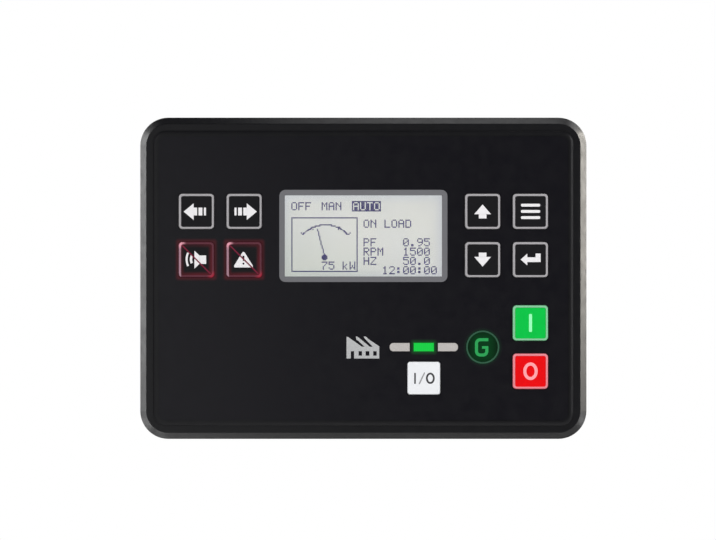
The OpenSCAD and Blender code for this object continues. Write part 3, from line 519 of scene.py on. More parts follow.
class SlotFinish(Enum):
    """The finish of each material slot, under the slot's name."""

    # Spark-eroded mould: a fine even grain that turns gloss into a soft sheen
    black_plastic = Finish(
        "black_polycarbonate_spark_textured", "#151518", 0.4, specular=0.3, grain=0.45,
        relief=0.006, patch=0.1, edge=0.25,
    )
    # Reverse-printed polyester: smoother and a little bluer than the moulding round it
    overlay_film = Finish(
        "printed_polyester_film", "#100f16", 0.38, specular=0.3, grain=0.7, relief=0.003,
        patch=0.08, power=1.0, halos=SPILL,
    )
    # Cast acrylic: clear, with a polished face
    clear_window = Finish(
        "clear_acrylic_polished", "#f6f8f8", 0.06, ior=1.49, transmission=1.0, grain=6.0,
        relief=0.0004, patch=0.02, rough_spread=0.02,
    )
    # Foamed rubber: dull, with open pores
    gasket_rubber = Finish(
        "foamed_rubber", "#262627", 0.9, specular=0.25, grain=0.8, relief=0.12, patch=0.25,
        patch_size=3.0,
    )
    # Painted polycarbonate caps: satin, with a rounded edge that catches the side light
    key_grey = Finish("satin_grey_polycarbonate", "#a6a3a6", **CAP)
    # The green and pink caps also carry a faint painted glow, which makes them look brighter
    key_green = Finish(
        "satin_pale_green_polycarbonate", "#84c39a", glow="#1f6a38", power=0.2, **CAP
    )
    key_red = Finish("satin_pink_polycarbonate", "#e28791", glow="#8a2028", power=0.2, **CAP)
    key_white = Finish(
        "satin_white_polycarbonate", "#e9ebee", 0.4, specular=0.3, grain=0.6, relief=0.003,
        edge=0.2, patch=0.04,
    )
    # Light-spreading lenses: milky or lit, with fine ribs inside
    lamp_grey = Lines(
        "milky_polycarbonate_lens", "#b9b5b2", specular=0.2, line_colour="#b0aca9", **LENS
    )
    lamp_green = Lines(
        "lit_green_polycarbonate_lens", "#0aa238", specular=0.15, line_colour="#089333",
        glow="#06d23a", power=0.42, **LENS,
    )
    # Smoked lens: nearly black, with a green light deep in it
    lamp_dark = Finish(
        "smoked_green_polycarbonate_lens", "#03190b", 0.55, specular=0.08, grain=0.6,
        relief=0.003, patch=0.1, power=1.0, halos=(LAMP_GLOW,),
    )
    # Clear resin over a pale phosphor
    diode = Finish(
        "phosphor_resin", "#ece7c8", 0.25, grain=0.4, relief=0.01, patch=0.15, patch_size=1.0
    )
    # Silicone: matt and slightly dusty
    keypad_rubber = Finish(
        "silicone_rubber", "#3b3b3e", 0.75, specular=0.3, relief=0.01, patch=0.2
    )
    # Solder mask: green gloss over the weave, with paler tracks
    circuit_board = Board(
        "solder_mask_on_glass_fibre", "#1d5a37", 0.35, grain=0.6, relief=0.02, patch=0.15
    )
    # Glass over the lit backlight: pale, and uneven towards its edge
    display_glass = GlassCell(
        "liquid_crystal_glass", "#b9bcb8", 0.2, grain=3.0, relief=0.001, patch=0.03,
        glow="#dcdad5", power=0.96, centre=front_centre("display_window"),
        half=half_size("display_window", WINDOW_BORDER_MM),
    )
    # Diffuser sheet: matt white
    backlight = Finish(
        "white_diffuser_acrylic", "#f2f2ec", 0.6, grain=0.6, relief=0.01, patch=0.04
    )
    # Amber film with copper tracks along it
    flex_film = Lines("polyimide_film_on_copper", "#b06c24", 0.3, grain=0.6, line_colour="#d39a52")
    # Zinc-plated steel: bright and turned, so its texture runs in fine lines
    steel = Finish(
        "zinc_plated_steel", "#c6c8cc", 0.3, metallic=1.0, relief=0.006, patch=0.18,
        patch_size=2.5, rough_spread=0.08, stretch=(1.0, 5.0, 1.0),
    )
    # Glass-filled polyamide: black with a dry, uneven sheen
    connector_black = Finish(
        "glass_filled_polyamide_black", "#2b2b2e", relief=0.01, patch=0.15, edge=0.2
    )
    # Epoxy: dull dark grey
    chip = Finish("epoxy_moulding_compound", "#29292b", 0.6, grain=0.4, relief=0.012)
    # Polyester case: smooth blue
    relay_case = Finish("blue_polyester_case", "#2a3b6d", 0.35, relief=0.005, patch=0.1)
    # Printed sleeve: dark, with pale stripes
    capacitor_can = Lines(
        "printed_sleeve_on_aluminium", "#2c3040", 0.35, line=16.0, line_colour="#9aa0ac", share=0.5
    )
    # Ferrite: dark grey, coarse and blotched
    ferrite = Finish("sintered_ferrite", "#4a4a4e", 0.6, relief=0.03, patch=0.25, patch_size=2.0)
    # Moulded polyamide: even green with a dull sheen and flow marks
    terminal_green = Finish(
        "green_polyamide", "#2f9150", 0.45, relief=0.008, patch=0.16, patch_size=6.0, edge=0.15
    )
    # Tinned brass: pale yellow metal, bright in spots
    brass_pins = Finish(
        "tinned_brass", "#d2c79c", 0.28, metallic=1.0, grain=0.4, relief=0.005, patch=0.15,
        patch_size=1.5,
    )


@dataclass(frozen=True)
class AlarmKey:
    """A key that is lit red from behind: what its frame and its face look like."""

    key: str
    half_mm: float = 6.85
    left_mm: float = 6.1
    left_fade_mm: float = 0.3
    pale_share: float = 0.9
    pale_reach_mm: float = 2.2
    diode_reach_mm: float = 3.0
    spot_mm: float = 0.2

    def frame(self) -> Finish:
        """Paints highlights on the frame at its left and upper left, and lights its lower right
        corner.

        Returns:
            The frame's finish.
        """
        middle = front_centre(self.key)
        highlight_side = middle - Vector((NO_LIMIT + self.left_mm * MM, 0, 0))
        large = Vector((NO_LIMIT, NO_LIMIT, NO_LIMIT))
        spot = Vector((self.spot_mm * MM, NO_LIMIT, self.spot_mm * MM))
        corner = Vector((self.half_mm, 0, -self.half_mm)) * MM
        # Painted highlights: the frame is paler along its left and at its upper left corner
        left = Halo(highlight_side, large, self.left_fade_mm, "#9d7a88")
        pale = Halo(middle - corner * self.pale_share, spot, self.pale_reach_mm, "#dc98a8")
        diode = Halo(middle + corner, spot, self.diode_reach_mm, "#8c1226")
        # Translucent polycarbonate: dull red, with a painted highlight at its left and upper left
        # where light from the left meets it
        return Finish(
            "red_lit_polycarbonate_" + self.key, "#572b37", specular=0.2, relief=0.003, patch=0.05,
            glow="#200408", power=1.0, tints=(left, pale), halos=(diode,),
        )

    def face(self) -> Finish:
        """Gives the black face its red edge.

        Returns:
            The face's finish.
        """
        name = "red_lit_black_face_" + self.key
        middle = front_centre(self.key)
        return LitFace(name, "#151418", specular=0.2, power=1.0, centre=middle, **GROUND)


class Palette:
    """Chooses each node's and key face's finish, and makes each material once."""

    def __init__(self) -> None:
        """Lists the nodes and faces that differ from their slots."""
        # Plain polyamide: off-white, slightly glossy
        tongue = Finish("white_polyamide", "#eceae4", 0.45, relief=0.006, patch=0.06)
        self.by_node: Dict[str, Finish] = {"usb_tongue": tongue}
        self.by_face: Dict[str, Finish] = {
            "key_start": Ink.GREEN_GROUND.value,
            "key_stop": Ink.RED_GROUND.value,
        }
        for key in ALARM_KEYS:
            self.by_node[key] = AlarmKey(key).frame()
            self.by_face[key] = AlarmKey(key).face()
        self.made: Dict[str, bpy.types.Material] = {}

    def dress_nodes(self) -> None:
        """Gives every CAD node its finish."""
        for node, slot in SLOTS.items():
            finish = self.by_node.get(node, SlotFinish[slot].value)
            self.dress(frame["nodes"][node], finish)
            log.info("node %s: %s", node, finish.name)

    def dress(self, piece: Piece, finish: Finish) -> None:
        """Puts one finish on a piece.

        Args:
            piece: The mesh object.
            finish: Its finish.
        """
        if finish.name not in self.made:
            self.made[finish.name] = finish.build()
        piece.data.materials.clear()
        piece.data.materials.append(self.made[finish.name])


def deselect() -> None:
    """Leaves nothing selected, so that an operator acts on the new piece alone."""
    bpy.ops.object.select_all(action="DESELECT")


def take(piece: Piece) -> None:
    """Selects one piece and makes it active.

    Args:
        piece: The piece.
    """
    deselect()
    piece.select_set(True)
    bpy.context.view_layer.objects.active = piece


def edit_all() -> None:
    """Opens the active piece for editing with all of it selected."""
    bpy.ops.object.mode_set(mode="EDIT")
    bpy.ops.mesh.select_all(action="SELECT")


def leave_edit() -> None:
    """Closes the piece that is being edited."""
    bpy.ops.object.mode_set(mode="OBJECT")


def put(piece: Piece, place: Vector, turn: Sequence[float] = (0, 0, 0)) -> Piece:
    """Turns and moves the selected piece and applies that to its mesh.

    Args:
        piece: The selected piece.
        place: Where its origin goes, in metres.
        turn: Its turn about the three axes, in radians.

    Returns:
        The piece.
    """
    piece.rotation_euler = turn
    piece.location = place
    bpy.ops.object.transform_apply(location=True, rotation=True, scale=True)
    return piece


def sized(w: float, h: float) -> Piece:
    """Gives the new flat primitive its size.

    Args:
        w: Width in millimetres.
        h: Height in millimetres.

    Returns:
        The active piece, one unit across until now.
    """
    piece = bpy.context.object
    piece.scale = (w * MM, h * MM, 1)
    bpy.ops.object.transform_apply(location=True, rotation=True, scale=True)
    return piece


def plane(w: float, h: float) -> Piece:
    """Adds a flat rectangle with that width and height in millimetres."""
    bpy.ops.mesh.primitive_plane_add(size=1)
    return sized(w, h)


def cut(at: Pair, normal: Pair) -> None:
    """Cuts the active flat piece along a line and drops the side that the normal points to.

    Args:
        at: A point of the line, in millimetres.
        normal: Direction of the side that is dropped.
    """
    edit_all()
    way = Vector((*normal, 0)).normalized()
    bpy.ops.mesh.bisect(plane_co=(at[0] * MM, at[1] * MM, 0), plane_no=way, clear_outer=True)
    leave_edit()


def hollow(line: float) -> None:
    """Leaves only a line along the outline of the active flat piece.

    Args:
        line: Width of the line in millimetres.
    """
    edit_all()
    bpy.ops.mesh.inset(thickness=line * MM, use_even_offset=True)
    bpy.ops.mesh.delete(type="FACE")
    leave_edit()


def soften(radius: float, steps: int) -> None:
    """Rounds the corners of the active flat piece.

    Args:
        radius: Radius in millimetres.
        steps: Segments of each corner.
    """
    edit_all()
    bpy.ops.mesh.bevel(
        offset=radius * MM, offset_type="OFFSET", segments=steps, affect="VERTICES"
    )
    leave_edit()


@dataclass(frozen=True)
class Stroke:
    """One simple shape of a print, in millimetres from the print's centre."""

    def draw(self) -> Piece:
        """Models the shape flat, facing +Z."""
        raise NotImplementedError


Strokes = Tuple[Stroke, ...]


@dataclass(frozen=True)
class Placed(Stroke):
    """A stroke with a centre of its own."""

    x: float
    y: float

    def settle(self, piece: Piece, turn: float = 0.0) -> Piece:
        """Puts the modelled shape on its centre, turned by some degrees."""
        return put(piece, Vector((self.x, self.y, 0)) * MM, (0, 0, math.radians(turn)))


@dataclass(frozen=True)
class Bar(Placed):
    """A rectangle, or the line along it where it has a line width, which cuts may shorten."""

    w: float
    h: float
    corner: float = 0.0
    turn: float = 0.0
    line: float = 0.0
    cuts: Tuple[Tuple[Pair, Pair], ...] = ()
    steps: int = 5

    def draw(self) -> Piece:
        """Models the bar from a plane.

        Returns:
            The flat piece.
        """
        piece = plane(self.w, self.h)
        if self.corner > 0:
            soften(self.corner, self.steps)
        if self.line > 0:
            hollow(self.line)
        for at, normal in self.cuts:
            cut(at, normal)
        return self.settle(piece, self.turn)


@dataclass(frozen=True)
class Disc(Placed):
    """A filled circle or oval, or a ring where it has a line width."""

    w: float
    h: float
    line: float = 0.0
    sides: int = 48

    def draw(self) -> Piece:
        """Models the disc or ring from a circle.

        Returns:
            The flat piece.
        """
        bpy.ops.mesh.primitive_circle_add(vertices=self.sides, radius=0.5, fill_type="NGON")
        piece = sized(self.w, self.h)
        if self.line > 0:
            hollow(self.line)
        return self.settle(piece)


@dataclass(frozen=True)
class Arc(Placed):
    """Part of a ring, spread about a direction."""

    radius: float
    line: float
    middle: float
    spread: float
    sides: int = 72

    def draw(self) -> Piece:
        """Models the arc from a ring that two lines cut.

        Returns:
            The flat piece.
        """
        piece = Disc(0, 0, 2 * self.radius, 2 * self.radius, self.line, self.sides).draw()
        for side in (1, -1):
            angle = math.radians(self.middle + side * (self.spread + 90))
            cut((0, 0), (math.cos(angle), math.sin(angle)))
        return self.settle(piece)


@dataclass(frozen=True)
class Field(Stroke):
    """A convex outline whose corners run anticlockwise."""

    corners: Tuple[Pair, ...]
    corner: float = 0.0
    steps: int = 5

    def draw(self) -> Piece:
        """Models the field from a large plane that each side of the outline cuts.

        Returns:
            The flat piece.
        """
        reach = 4 * max(abs(c) for point in self.corners for c in point)
        piece = plane(reach, reach)
        for (ax, ay), (bx, by) in zip(self.corners, self.corners[1:] + self.corners[:1]):
            cut((ax, ay), (by - ay, ax - bx))
        if self.corner > 0:
            soften(self.corner, self.steps)
        return piece


def between(left: float, right: float, low: float, high: float) -> Bar:
    """Gives the bar between two sides, a lower and an upper edge."""
    return Bar((left + right) / 2, (low + high) / 2, right - left, high - low)


class Flip(Enum):
    """How a print is made from another: signs of its width and height."""

    SIDEWAYS = (-1, 1)
    HALF_TURN = (-1, -1)


def flipped(strokes: Sequence[Stroke], flip: Flip) -> Strokes:
    """Mirrors or turns an arrow made of bars and fields.

    Args:
        strokes: Bars and fields.
        flip: What is done to them.

    Returns:
        The new strokes.
    """
    sx, sy = flip.value
    made: List[Stroke] = []
    for s in strokes:
        if isinstance(s, Bar):
            made.append(replace(s, x=sx * s.x, y=sy * s.y))
        elif isinstance(s, Field):
            points = tuple((sx * x, sy * y) for x, y in s.corners)
            made.append(replace(s, corners=points if sx == sy else points[::-1]))
    return tuple(made)


PAGE_ARROW: Strokes = (
    Field(((-5.0, -0.1), (-1.05, -3.35), (-1.05, 3.15))),
    Bar(-0.4, -0.05, 1.4, 3.05),
    Bar(1.6, -0.05, 1.5, 3.05),
    Bar(3.36, -0.05, 0.82, 3.05),
)
UP_ARROW: Strokes = (
    Field(((-3.3, -1.1), (3.3, -1.1), (0.0, 2.7))),
    Bar(0.0, -1.9, 3.0, 1.7),
)
MENU_BARS: Strokes = tuple(Bar(0.08, y, 7.5, 1.1, 0.4) for y in (2.43, 0.0, -2.43))
ENTER_ARROW: Strokes = (
    Field(((-3.8, 0.05), (-1.2, -2.25), (-1.2, 2.35))),
    Bar(1.4, 0.0, 5.2, 1.85),
    Bar(3.02, 1.65, 1.96, 1.5),
)
HORN: Strokes = (
    Field(((-0.75, -3.5), (1.2, -1.65), (1.2, 1.65), (-0.75, 3.5))),
    Bar(2.5, 0.0, 2.7, 3.3),
    Arc(2.3, 0.1, 6.5, 0.78, 180, 24.5),
    Arc(1.4, 0.1, 3.95, 0.9, 180, 26.0),
)
TRIANGLE: Strokes = (Field(((-4.35, -3.05), (3.85, -3.05), (-0.25, 3.55)), 1.0),)
EXCLAMATION: Strokes = (
    Field(((-0.47, -0.55), (-0.03, -0.55), (0.15, 1.5), (-0.65, 1.5)), 0.12),
    Disc(-0.25, -1.55, 0.78, 0.78, sides=24),
)
STRIKE: Strokes = (Bar(0.0, 0.0, 15.9, 0.52, turn=-45),)
START_BAR: Strokes = (Bar(0.05, 0.0, 1.2, 7.05, 0.4),)
STOP_RING: Strokes = (Disc(0.05, 0.0, 5.65, 6.9, 1.2),)
BREAKER_SIGNS: Strokes = (
    Bar(-3.45, -0.1, 0.62, 4.3, 0.15),
    Disc(2.55, -0.05, 3.45, 4.4, 0.72),
)
BREAKER_SLASH: Strokes = (Bar(-0.75, -0.05, 0.46, 5.0, 0.1, -25.4),)
GENERATOR_RING: Strokes = (Disc(0.0, 0.0, 13.0, 13.0, 0.62, 96),)
# The letter's left half, its top arm, its lower right quarter and its spur
BOWL = Bar(-0.45, -0.1, 5.25, 7.2, 2.1, line=1.2, steps=8)
LETTER_G: Strokes = (
    replace(BOWL, cuts=(((0, 0), (1, 0)),)),
    Bar(0.86, 2.9, 2.62, 1.2),
    replace(BOWL, cuts=(((0, 0), (-1, 0)), ((0, 0.5), (0, 1)))),
    Bar(0.33, -0.12, 1.28, 1.04),
)
# Building with slanted roofs, a door and three windows, from its lower left corner
FACTORY_W = 12.8
FACTORY_FOOT = -4.45
FACTORY_WALL = 4.6
FACTORY_SILL = 1.1
FACTORY_HEAD = 2.85
FACTORY_PIERS = ((2.95, 4.7), (6.05, 7.45), (8.95, 10.45), (11.8, FACTORY_W))
FACTORY: Strokes = (
    between(0.0, FACTORY_W, FACTORY_HEAD, FACTORY_WALL),
    between(0.0, 1.65, 0.0, FACTORY_HEAD),
    between(2.95, FACTORY_W, 0.0, FACTORY_SILL),
    *(between(left, right, FACTORY_SILL, FACTORY_HEAD) for left, right in FACTORY_PIERS),
    Field(((0.0, FACTORY_WALL), (6.0, FACTORY_WALL), (0.6, 8.4), (0.0, 8.55))),
    Field(((7.05, FACTORY_WALL), (9.1, FACTORY_WALL), (6.45, 6.8), (4.7, 6.8))),
    Field(((4.7, 6.8), (6.45, 6.8), (4.35, 8.5), (3.65, 8.6), (3.85, 7.4))),
    Field((
        (10.25, FACTORY_WALL), (FACTORY_W, FACTORY_WALL), (FACTORY_W, 4.75),
        (12.5, 5.05), (8.36, 7.8), (7.15, 7.8),
    )),
    Field(((7.15, 7.8), (8.36, 7.8), (7.55, 8.6), (6.65, 8.6))),
)


def join(strokes: Sequence[Stroke], name: str) -> Piece:
    """Models the strokes of a print and joins them to one flat piece.

    Args:
        strokes: The shapes.
        name: Name of the piece.

    Returns:
        The piece, flat and facing +Z.
    """
    deselect()
    flat = [stroke.draw() for stroke in strokes]
    take(flat[0])
    for piece in flat[1:]:
        piece.select_set(True)
    if len(flat) > 1:
        bpy.ops.object.join()
    flat[0].name = name
    return flat[0]


def thicken(piece: Piece, thickness: float) -> None:
    """Gives a flat piece its thickness towards the side it faces.

    Args:
        piece: The flat piece.
        thickness: Thickness in millimetres.
    """
    take(piece)
    solid = piece.modifiers.new("thickness", "SOLIDIFY")
    solid.thickness = thickness * MM
    solid.offset = 1
    bpy.ops.object.modifier_apply(modifier=solid.name)


def set_on_front(piece: Piece, place: Vector) -> None:
    """Turns a flat piece to the front and puts the back of its origin in place."""
    take(piece)
    put(piece, place, (FRONT_TURN, 0, 0))


@dataclass(frozen=True)
class Print:
    """One thin print: its shapes and finish, where its back goes and what it belongs to."""

    name: str
    strokes: Strokes
    ink: Finish
    place: Vector
    slot: str
    body: str = BODY
    thickness_mm: float = INK_MM


@dataclass
class Press:
    """Models each print once, and lays copies of it where it repeats."""

    palette: Palette
    made: Dict[Strokes, Tuple[bpy.types.Mesh, Vector]] = field(default_factory=dict)

    def lay(self, job: Print) -> float:
        """Lays a print on the front.

        Args:
            job: The print.

        Returns:
            The level of its front.
        """
        if job.strokes in self.made:
            mesh, origin = self.made[job.strokes]
            piece = bpy.data.objects.new(job.name, mesh.copy())
            bpy.context.collection.objects.link(piece)
            take(piece)
            put(piece, job.place - origin)
        else:
            piece = join(job.strokes, job.name)
            thicken(piece, job.thickness_mm)
            set_on_front(piece, job.place)
            self.made[job.strokes] = (piece.data, job.place)
        piece.data.name = job.name
        self.palette.dress(piece, job.ink)
        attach(piece, job.body)
        log.info("%s: on %s", job.name, job.body)
        return job.place.y - job.thickness_mm * MM


class Glyph(Enum):
    """Dot patterns of the display's letters and figures, five dots wide and seven high."""

    A = ".###. #...# #...# ##### #...# #...# #...#"
    D = "####. #...# #...# #...# #...# #...# ####."
    F = "##### #.... #.... ####. #.... #.... #...."
    H = "#...# #...# #...# ##### #...# #...# #...#"
    L = "#.... #.... #.... #.... #.... #.... #####"
    M = "#...# ##.## #.#.# #.#.# #...# #...# #...#"
    N = "#...# ##..# #.#.# #..## #...# #...# #...#"
    O = ".###. #...# #...# #...# #...# #...# .###."
    P = "####. #...# #...# ####. #.... #.... #...."
    R = "####. #...# #...# ####. #.#.. #..#. #...#"
    T = "##### ..#.. ..#.. ..#.. ..#.. ..#.. ..#.."
    U = "#...# #...# #...# #...# #...# #...# .###."
    W = "#...# #...# #...# #.#.# #.#.# ##.## #...#"
    Z = "##### ....# ...#. ..#.. .#... #.... #####"
    k = "#.... #.... #..#. #.#.. ##... #.#.. #..#."
    N0 = ".###. #...# #..## #.#.# ##..# #...# .###."
    N1 = "..#.. .##.. ..#.. ..#.. ..#.. ..#.. .###."
    N2 = ".###. #...# ....# ...#. ..#.. .#... #####"
    N5 = "##### #.... ####. ....# ....# #...# .###."
    N7 = "##### ....# ...#. ..#.. .#... .#... .#..."
    N9 = ".###. #...# #...# .#### ....# ...#. .##.."
    STOP = "..... ..... ..... ..... ..... .##.. .##.."
    COLON = "..... .##.. .##.. ..... .##.. .##.. ....."
    SPACE = "..... ..... ..... ..... ..... ..... ....."

    @classmethod
    def of(cls, sign: str) -> "Glyph":
        """Finds the pattern of a letter, figure, point, colon or space."""
        names = {".": "STOP", ":": "COLON", " ": "SPACE"}
        return cls["N" + sign if sign.isdigit() else names.get(sign, sign)]


GLYPH_STEP = 6


def lettering(words: str, column: int, row: int) -> Set[Dot]:
    """Writes words in dots.

    Args:
        words: The signs.
        column: First column.
        row: First row.

    Returns:
        The dots of the signs.
    """
    return {
        (column + GLYPH_STEP * i + c, row + r)
        for i, sign in enumerate(words)
        for r, line in enumerate(Glyph.of(sign).value.split())
        for c, mark in enumerate(line)
        if mark == "#"
    }


def block(left: int, right: int, top: int, foot: int) -> Set[Dot]:
    """Gives the dots from a left to a right column and from a top to a foot row."""
    return {(c, r) for c in range(left, right + 1) for r in range(top, foot + 1)}


@dataclass(frozen=True)
class Dial:
    """The gauge on the display, in dots: its box, scale, ticks, needle and pivot."""

    left: int = 2
    right: int = 58
    top: int = 16
    foot: int = 62
    centre: Pair = (30.8, 48.5)
    radius: float = 26.5
    spread: int = 47
    ticks: Tuple[Tuple[int, int, int], ...] = ((-47, 0, 2), (-26, -1, 1), (26, -1, 1), (47, 0, 2))
    needle: Tuple[Pair, Pair] = ((24.0, 26.1), (29.6, 47.3))
    pivot: Dot = (30, 50)
    pivot_reach: int = 2
    pivot_round: int = 7

    def point(self, degrees: float, away: float) -> Dot:
        """Gives the dot at an angle from the upright and a distance from the centre."""
        a, (x, y) = math.radians(degrees), self.centre
        return round(x + away * math.sin(a)), round(y - away * math.cos(a))

    def dots(self) -> Set[Dot]:
        """Draws the dial.

        Returns:
            Its dots.
        """
        made = block(self.left, self.right, self.top, self.foot)
        made -= block(self.left + 1, self.right - 1, self.top + 1, self.foot - 1)
        # The scale is drawn in half degrees, so that no dot of it is left out
        halves = range(-2 * self.spread, 2 * self.spread + 1)
        made |= {self.point(a / 2, self.radius) for a in halves}
        for degrees, inner, outer in self.ticks:
            made |= {self.point(degrees, self.radius + r) for r in range(inner, outer + 1)}
        (x, y), (end_x, end_y) = self.needle
        steps = int(max(abs(end_x - x), abs(end_y - y))) + 1
        for i in range(steps + 1):
            made.add((round(x + i / steps * (end_x - x)), round(y + i / steps * (end_y - y))))
        near = range(-self.pivot_reach, self.pivot_reach + 1)
        made |= {
            (self.pivot[0] + c, self.pivot[1] + r)
            for c in near for r in near if c * c + r * r < self.pivot_round
        }
        return made


@dataclass
class Reading:
    """What the display shows, as dark dots counted from its upper left corner."""

    columns: int = 128
    rows: int = 66
    pitch_mm: float = 0.456
    gap_mm: float = 0.03
    thickness_mm: float = 0.02
    glass_gap_mm: float = 0.03
    shift_x_mm: float = 0.05
    shift_z_mm: float = -0.45
    words: Tuple[Tuple[str, int, int], ...] = (
        ("OFF", 2, 3), ("MAN", 28, 3), ("ON LOAD", 64, 18), ("75", 28, 54), ("kW", 46, 54),
        ("PF", 64, 34), ("0.95", 98, 34), ("RPM", 64, 42), ("1500", 98, 42),
        ("HZ", 64, 50), ("50.0", 98, 50), ("12:00:00", 80, 58),
    )
    chosen: Tuple[str, int, int] = ("AUTO", 55, 3)
    chosen_ground: Tuple[int, int, int, int] = (54, 78, 2, 10)

    def dots(self) -> Set[Dot]:
        """Fills the display with plain readings of its own.

        Returns:
            The dark dots.
        """
        made = Dial().dots() | (block(*self.chosen_ground) - lettering(*self.chosen))
        for words in self.words:
            made |= lettering(*words)
        return made

    def build(self, palette: Palette) -> None:
        """Models the dots from a grid that covers the display's field.

        Args:
            palette: The finishes.
        """
        dots = self.dots()
        deselect()
        bpy.ops.mesh.primitive_grid_add(
            x_subdivisions=self.columns, y_subdivisions=self.rows, size=1
        )
        width = self.columns * self.pitch_mm
        height = self.rows * self.pitch_mm
        piece = sized(width, height)
        piece.name = "display_reading"
        bpy.context.tool_settings.mesh_select_mode = (False, False, True)
        for face in piece.data.polygons:
            column = int((face.center.x / MM + width / 2) / self.pitch_mm)
            row = int((height / 2 - face.center.y / MM) / self.pitch_mm)
            face.select = (column, row) not in dots
        bpy.ops.object.mode_set(mode="EDIT")
        bpy.ops.mesh.delete(type="FACE")
        bpy.ops.mesh.select_all(action="SELECT")
        bpy.ops.mesh.inset(thickness=self.gap_mm / 2 * MM, use_individual=True)
        bpy.ops.mesh.select_all(action="INVERT")
        bpy.ops.mesh.delete(type="FACE")
        leave_edit()
        thicken(piece, self.thickness_mm)
        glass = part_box("display_cell")[0].y - self.glass_gap_mm * MM
        shift = Vector((self.shift_x_mm, 0, self.shift_z_mm)) * MM
        set_on_front(piece, front_centre("display_window", glass) + shift)
        palette.dress(piece, Ink.CRYSTAL.value)
        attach(piece, BODY)
        log.info("display_reading: %d dots", len(dots))


@dataclass
class WindowBorder:
    """The grey border that is printed on the display window."""

    border_mm: float = 2.17
    corner_mm: float = 2.4
    steps: int = 8

    def build(self, press: Press) -> None:
        """Models the border on the front of the window.

        Args:
            press: What lays the prints.
        """
        low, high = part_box("display_window")
        width, height = (high.x - low.x) / MM, (high.z - low.z) / MM
        hoop = Bar(
            0, 0, width, height, self.corner_mm, line=self.border_mm, steps=self.steps
        )
        place = front_centre("display_window", low.y)
        press.lay(Print("window_border", (hoop,), Ink.BORDER.value, place, "clear_window"))


@dataclass
class KeyPrints:
    """The sunk faces of the keys and the symbols on them."""

    rim_mm: float = 0.8
    rim_rise_mm: float = 0.25
    face_mm: float = 0.05
    face_corner_mm: float = 0.8
    bare_left_mm: float = 0.15
    bare_top_mm: float = 0.1

    def symbols(self) -> Dict[str, Tuple[Tuple[str, Strokes, Ink], ...]]:
        """Lists each key's prints from the lowest up.

        Returns:
            The label, shapes and ink of each print, by the key's name.
        """
        strike = ("strike", STRIKE, Ink.STRIKE)
        return {
            "key_page_left": (("arrow", PAGE_ARROW, Ink.WHITE),),
            "key_page_right": (("arrow", flipped(PAGE_ARROW, Flip.SIDEWAYS), Ink.WHITE),),
            "key_horn_reset": (("horn", HORN, Ink.WHITE), strike),
            "key_fault_reset": (
                ("triangle", TRIANGLE, Ink.WHITE),
                ("mark", EXCLAMATION, Ink.BLACK_GROUND),
                strike,
            ),
            "key_up": (("arrow", UP_ARROW, Ink.WHITE),),
            "key_menu": (("bars", MENU_BARS, Ink.WHITE),),
            "key_down": (("arrow", flipped(UP_ARROW, Flip.HALF_TURN), Ink.WHITE),),
            "key_enter": (("arrow", ENTER_ARROW, Ink.WHITE),),
            "key_start": (("bar", START_BAR, Ink.PALE_GREEN),),
            "key_stop": (("ring", STOP_RING, Ink.PALE_RED),),
            PLAIN_KEY: (
                ("symbol", BREAKER_SIGNS, Ink.DARK),
                ("slash", BREAKER_SLASH, Ink.PALE_GREY),
            ),
        }

    def build(self, press: Press) -> None:
        """Models the faces and the symbols of all keys.

        Args:
            press: What lays the prints.
        """
        for key, prints in self.symbols().items():
            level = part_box(key)[0].y if key == PLAIN_KEY else self.face(key, press)
            for label, strokes, ink in prints:
                name = key.replace("key", label)
                place = front_centre(key, level)
                level = press.lay(Print(name, strokes, ink.value, place, SLOTS[key], key))

    def face(self, key: str, press: Press) -> float:
        """Lays the printed face into a key's frame.

        Args:
            key: Name of the key.
            press: What lays the prints.

        Returns:
            The level of the face's front.
        """
        # Rounded to a micrometre, so that keys of one size share one face
        width = round(2 * half_size(key, KEY_LIP_MM + self.rim_mm).x / MM, 3)
        outline = Bar(
            self.bare_left_mm / 2, -self.bare_top_mm / 2,
            width - self.bare_left_mm, width - self.bare_top_mm, self.face_corner_mm,
        )
        ink = press.palette.by_face.get(key, Ink.BLACK_GROUND.value)
        place = front_centre(key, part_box(key)[0].y + self.rim_rise_mm * MM)
        name = key.replace("key", "face")
        return press.lay(Print(name, (outline,), ink, place, SLOTS[key], key, self.face_mm))


@dataclass
class StatusPrints:
    """The load symbol on the sheet, and the ring and letter on the generator lamp."""

    load_x_mm: float = -0.18

    def build(self, press: Press) -> None:
        """Models the three prints.

        Args:
            press: What lays the prints.
        """
        lamp = front_centre("lamp_generator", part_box("lamp_generator")[0].y)
        foot = lamp.z + FACTORY_FOOT * MM
        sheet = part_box("front_overlay")[0].y
        corner = Vector(((self.load_x_mm - FACTORY_W / 2) * MM, sheet, foot))
        for job in (
            Print("load_symbol", FACTORY, Ink.GREY.value, corner, "overlay_film"),
            Print("generator_ring", GENERATOR_RING, Ink.RING.value, lamp, "lamp_dark"),
            Print("generator_letter", LETTER_G, Ink.LETTER.value, lamp, "lamp_dark"),
        ):
            press.lay(job)


@dataclass(frozen=True)
class Softbox:
    """One square lamp of the studio, aimed at the controller."""

    name: str
    place: Tuple[float, float, float]
    size: Pair
    power: float
    colour: str = "#ffffff"
    spread: float = 180.0

    def build(self) -> None:
        """Adds the lamp."""
        lamp = bpy.data.lights.new(self.name, "AREA")
        lamp.shape = "RECTANGLE"
        lamp.size, lamp.size_y = self.size
        lamp.energy = self.power
        lamp.color = linear(self.colour)[:3]
        lamp.spread = math.radians(self.spread)
        holder = bpy.data.objects.new(self.name, lamp)
        holder.location = self.place
        holder.visible_camera = False
        holder.rotation_euler = (-Vector(self.place)).to_track_quat("-Z", "Y").to_euler()
        bpy.context.scene.collection.objects.link(holder)


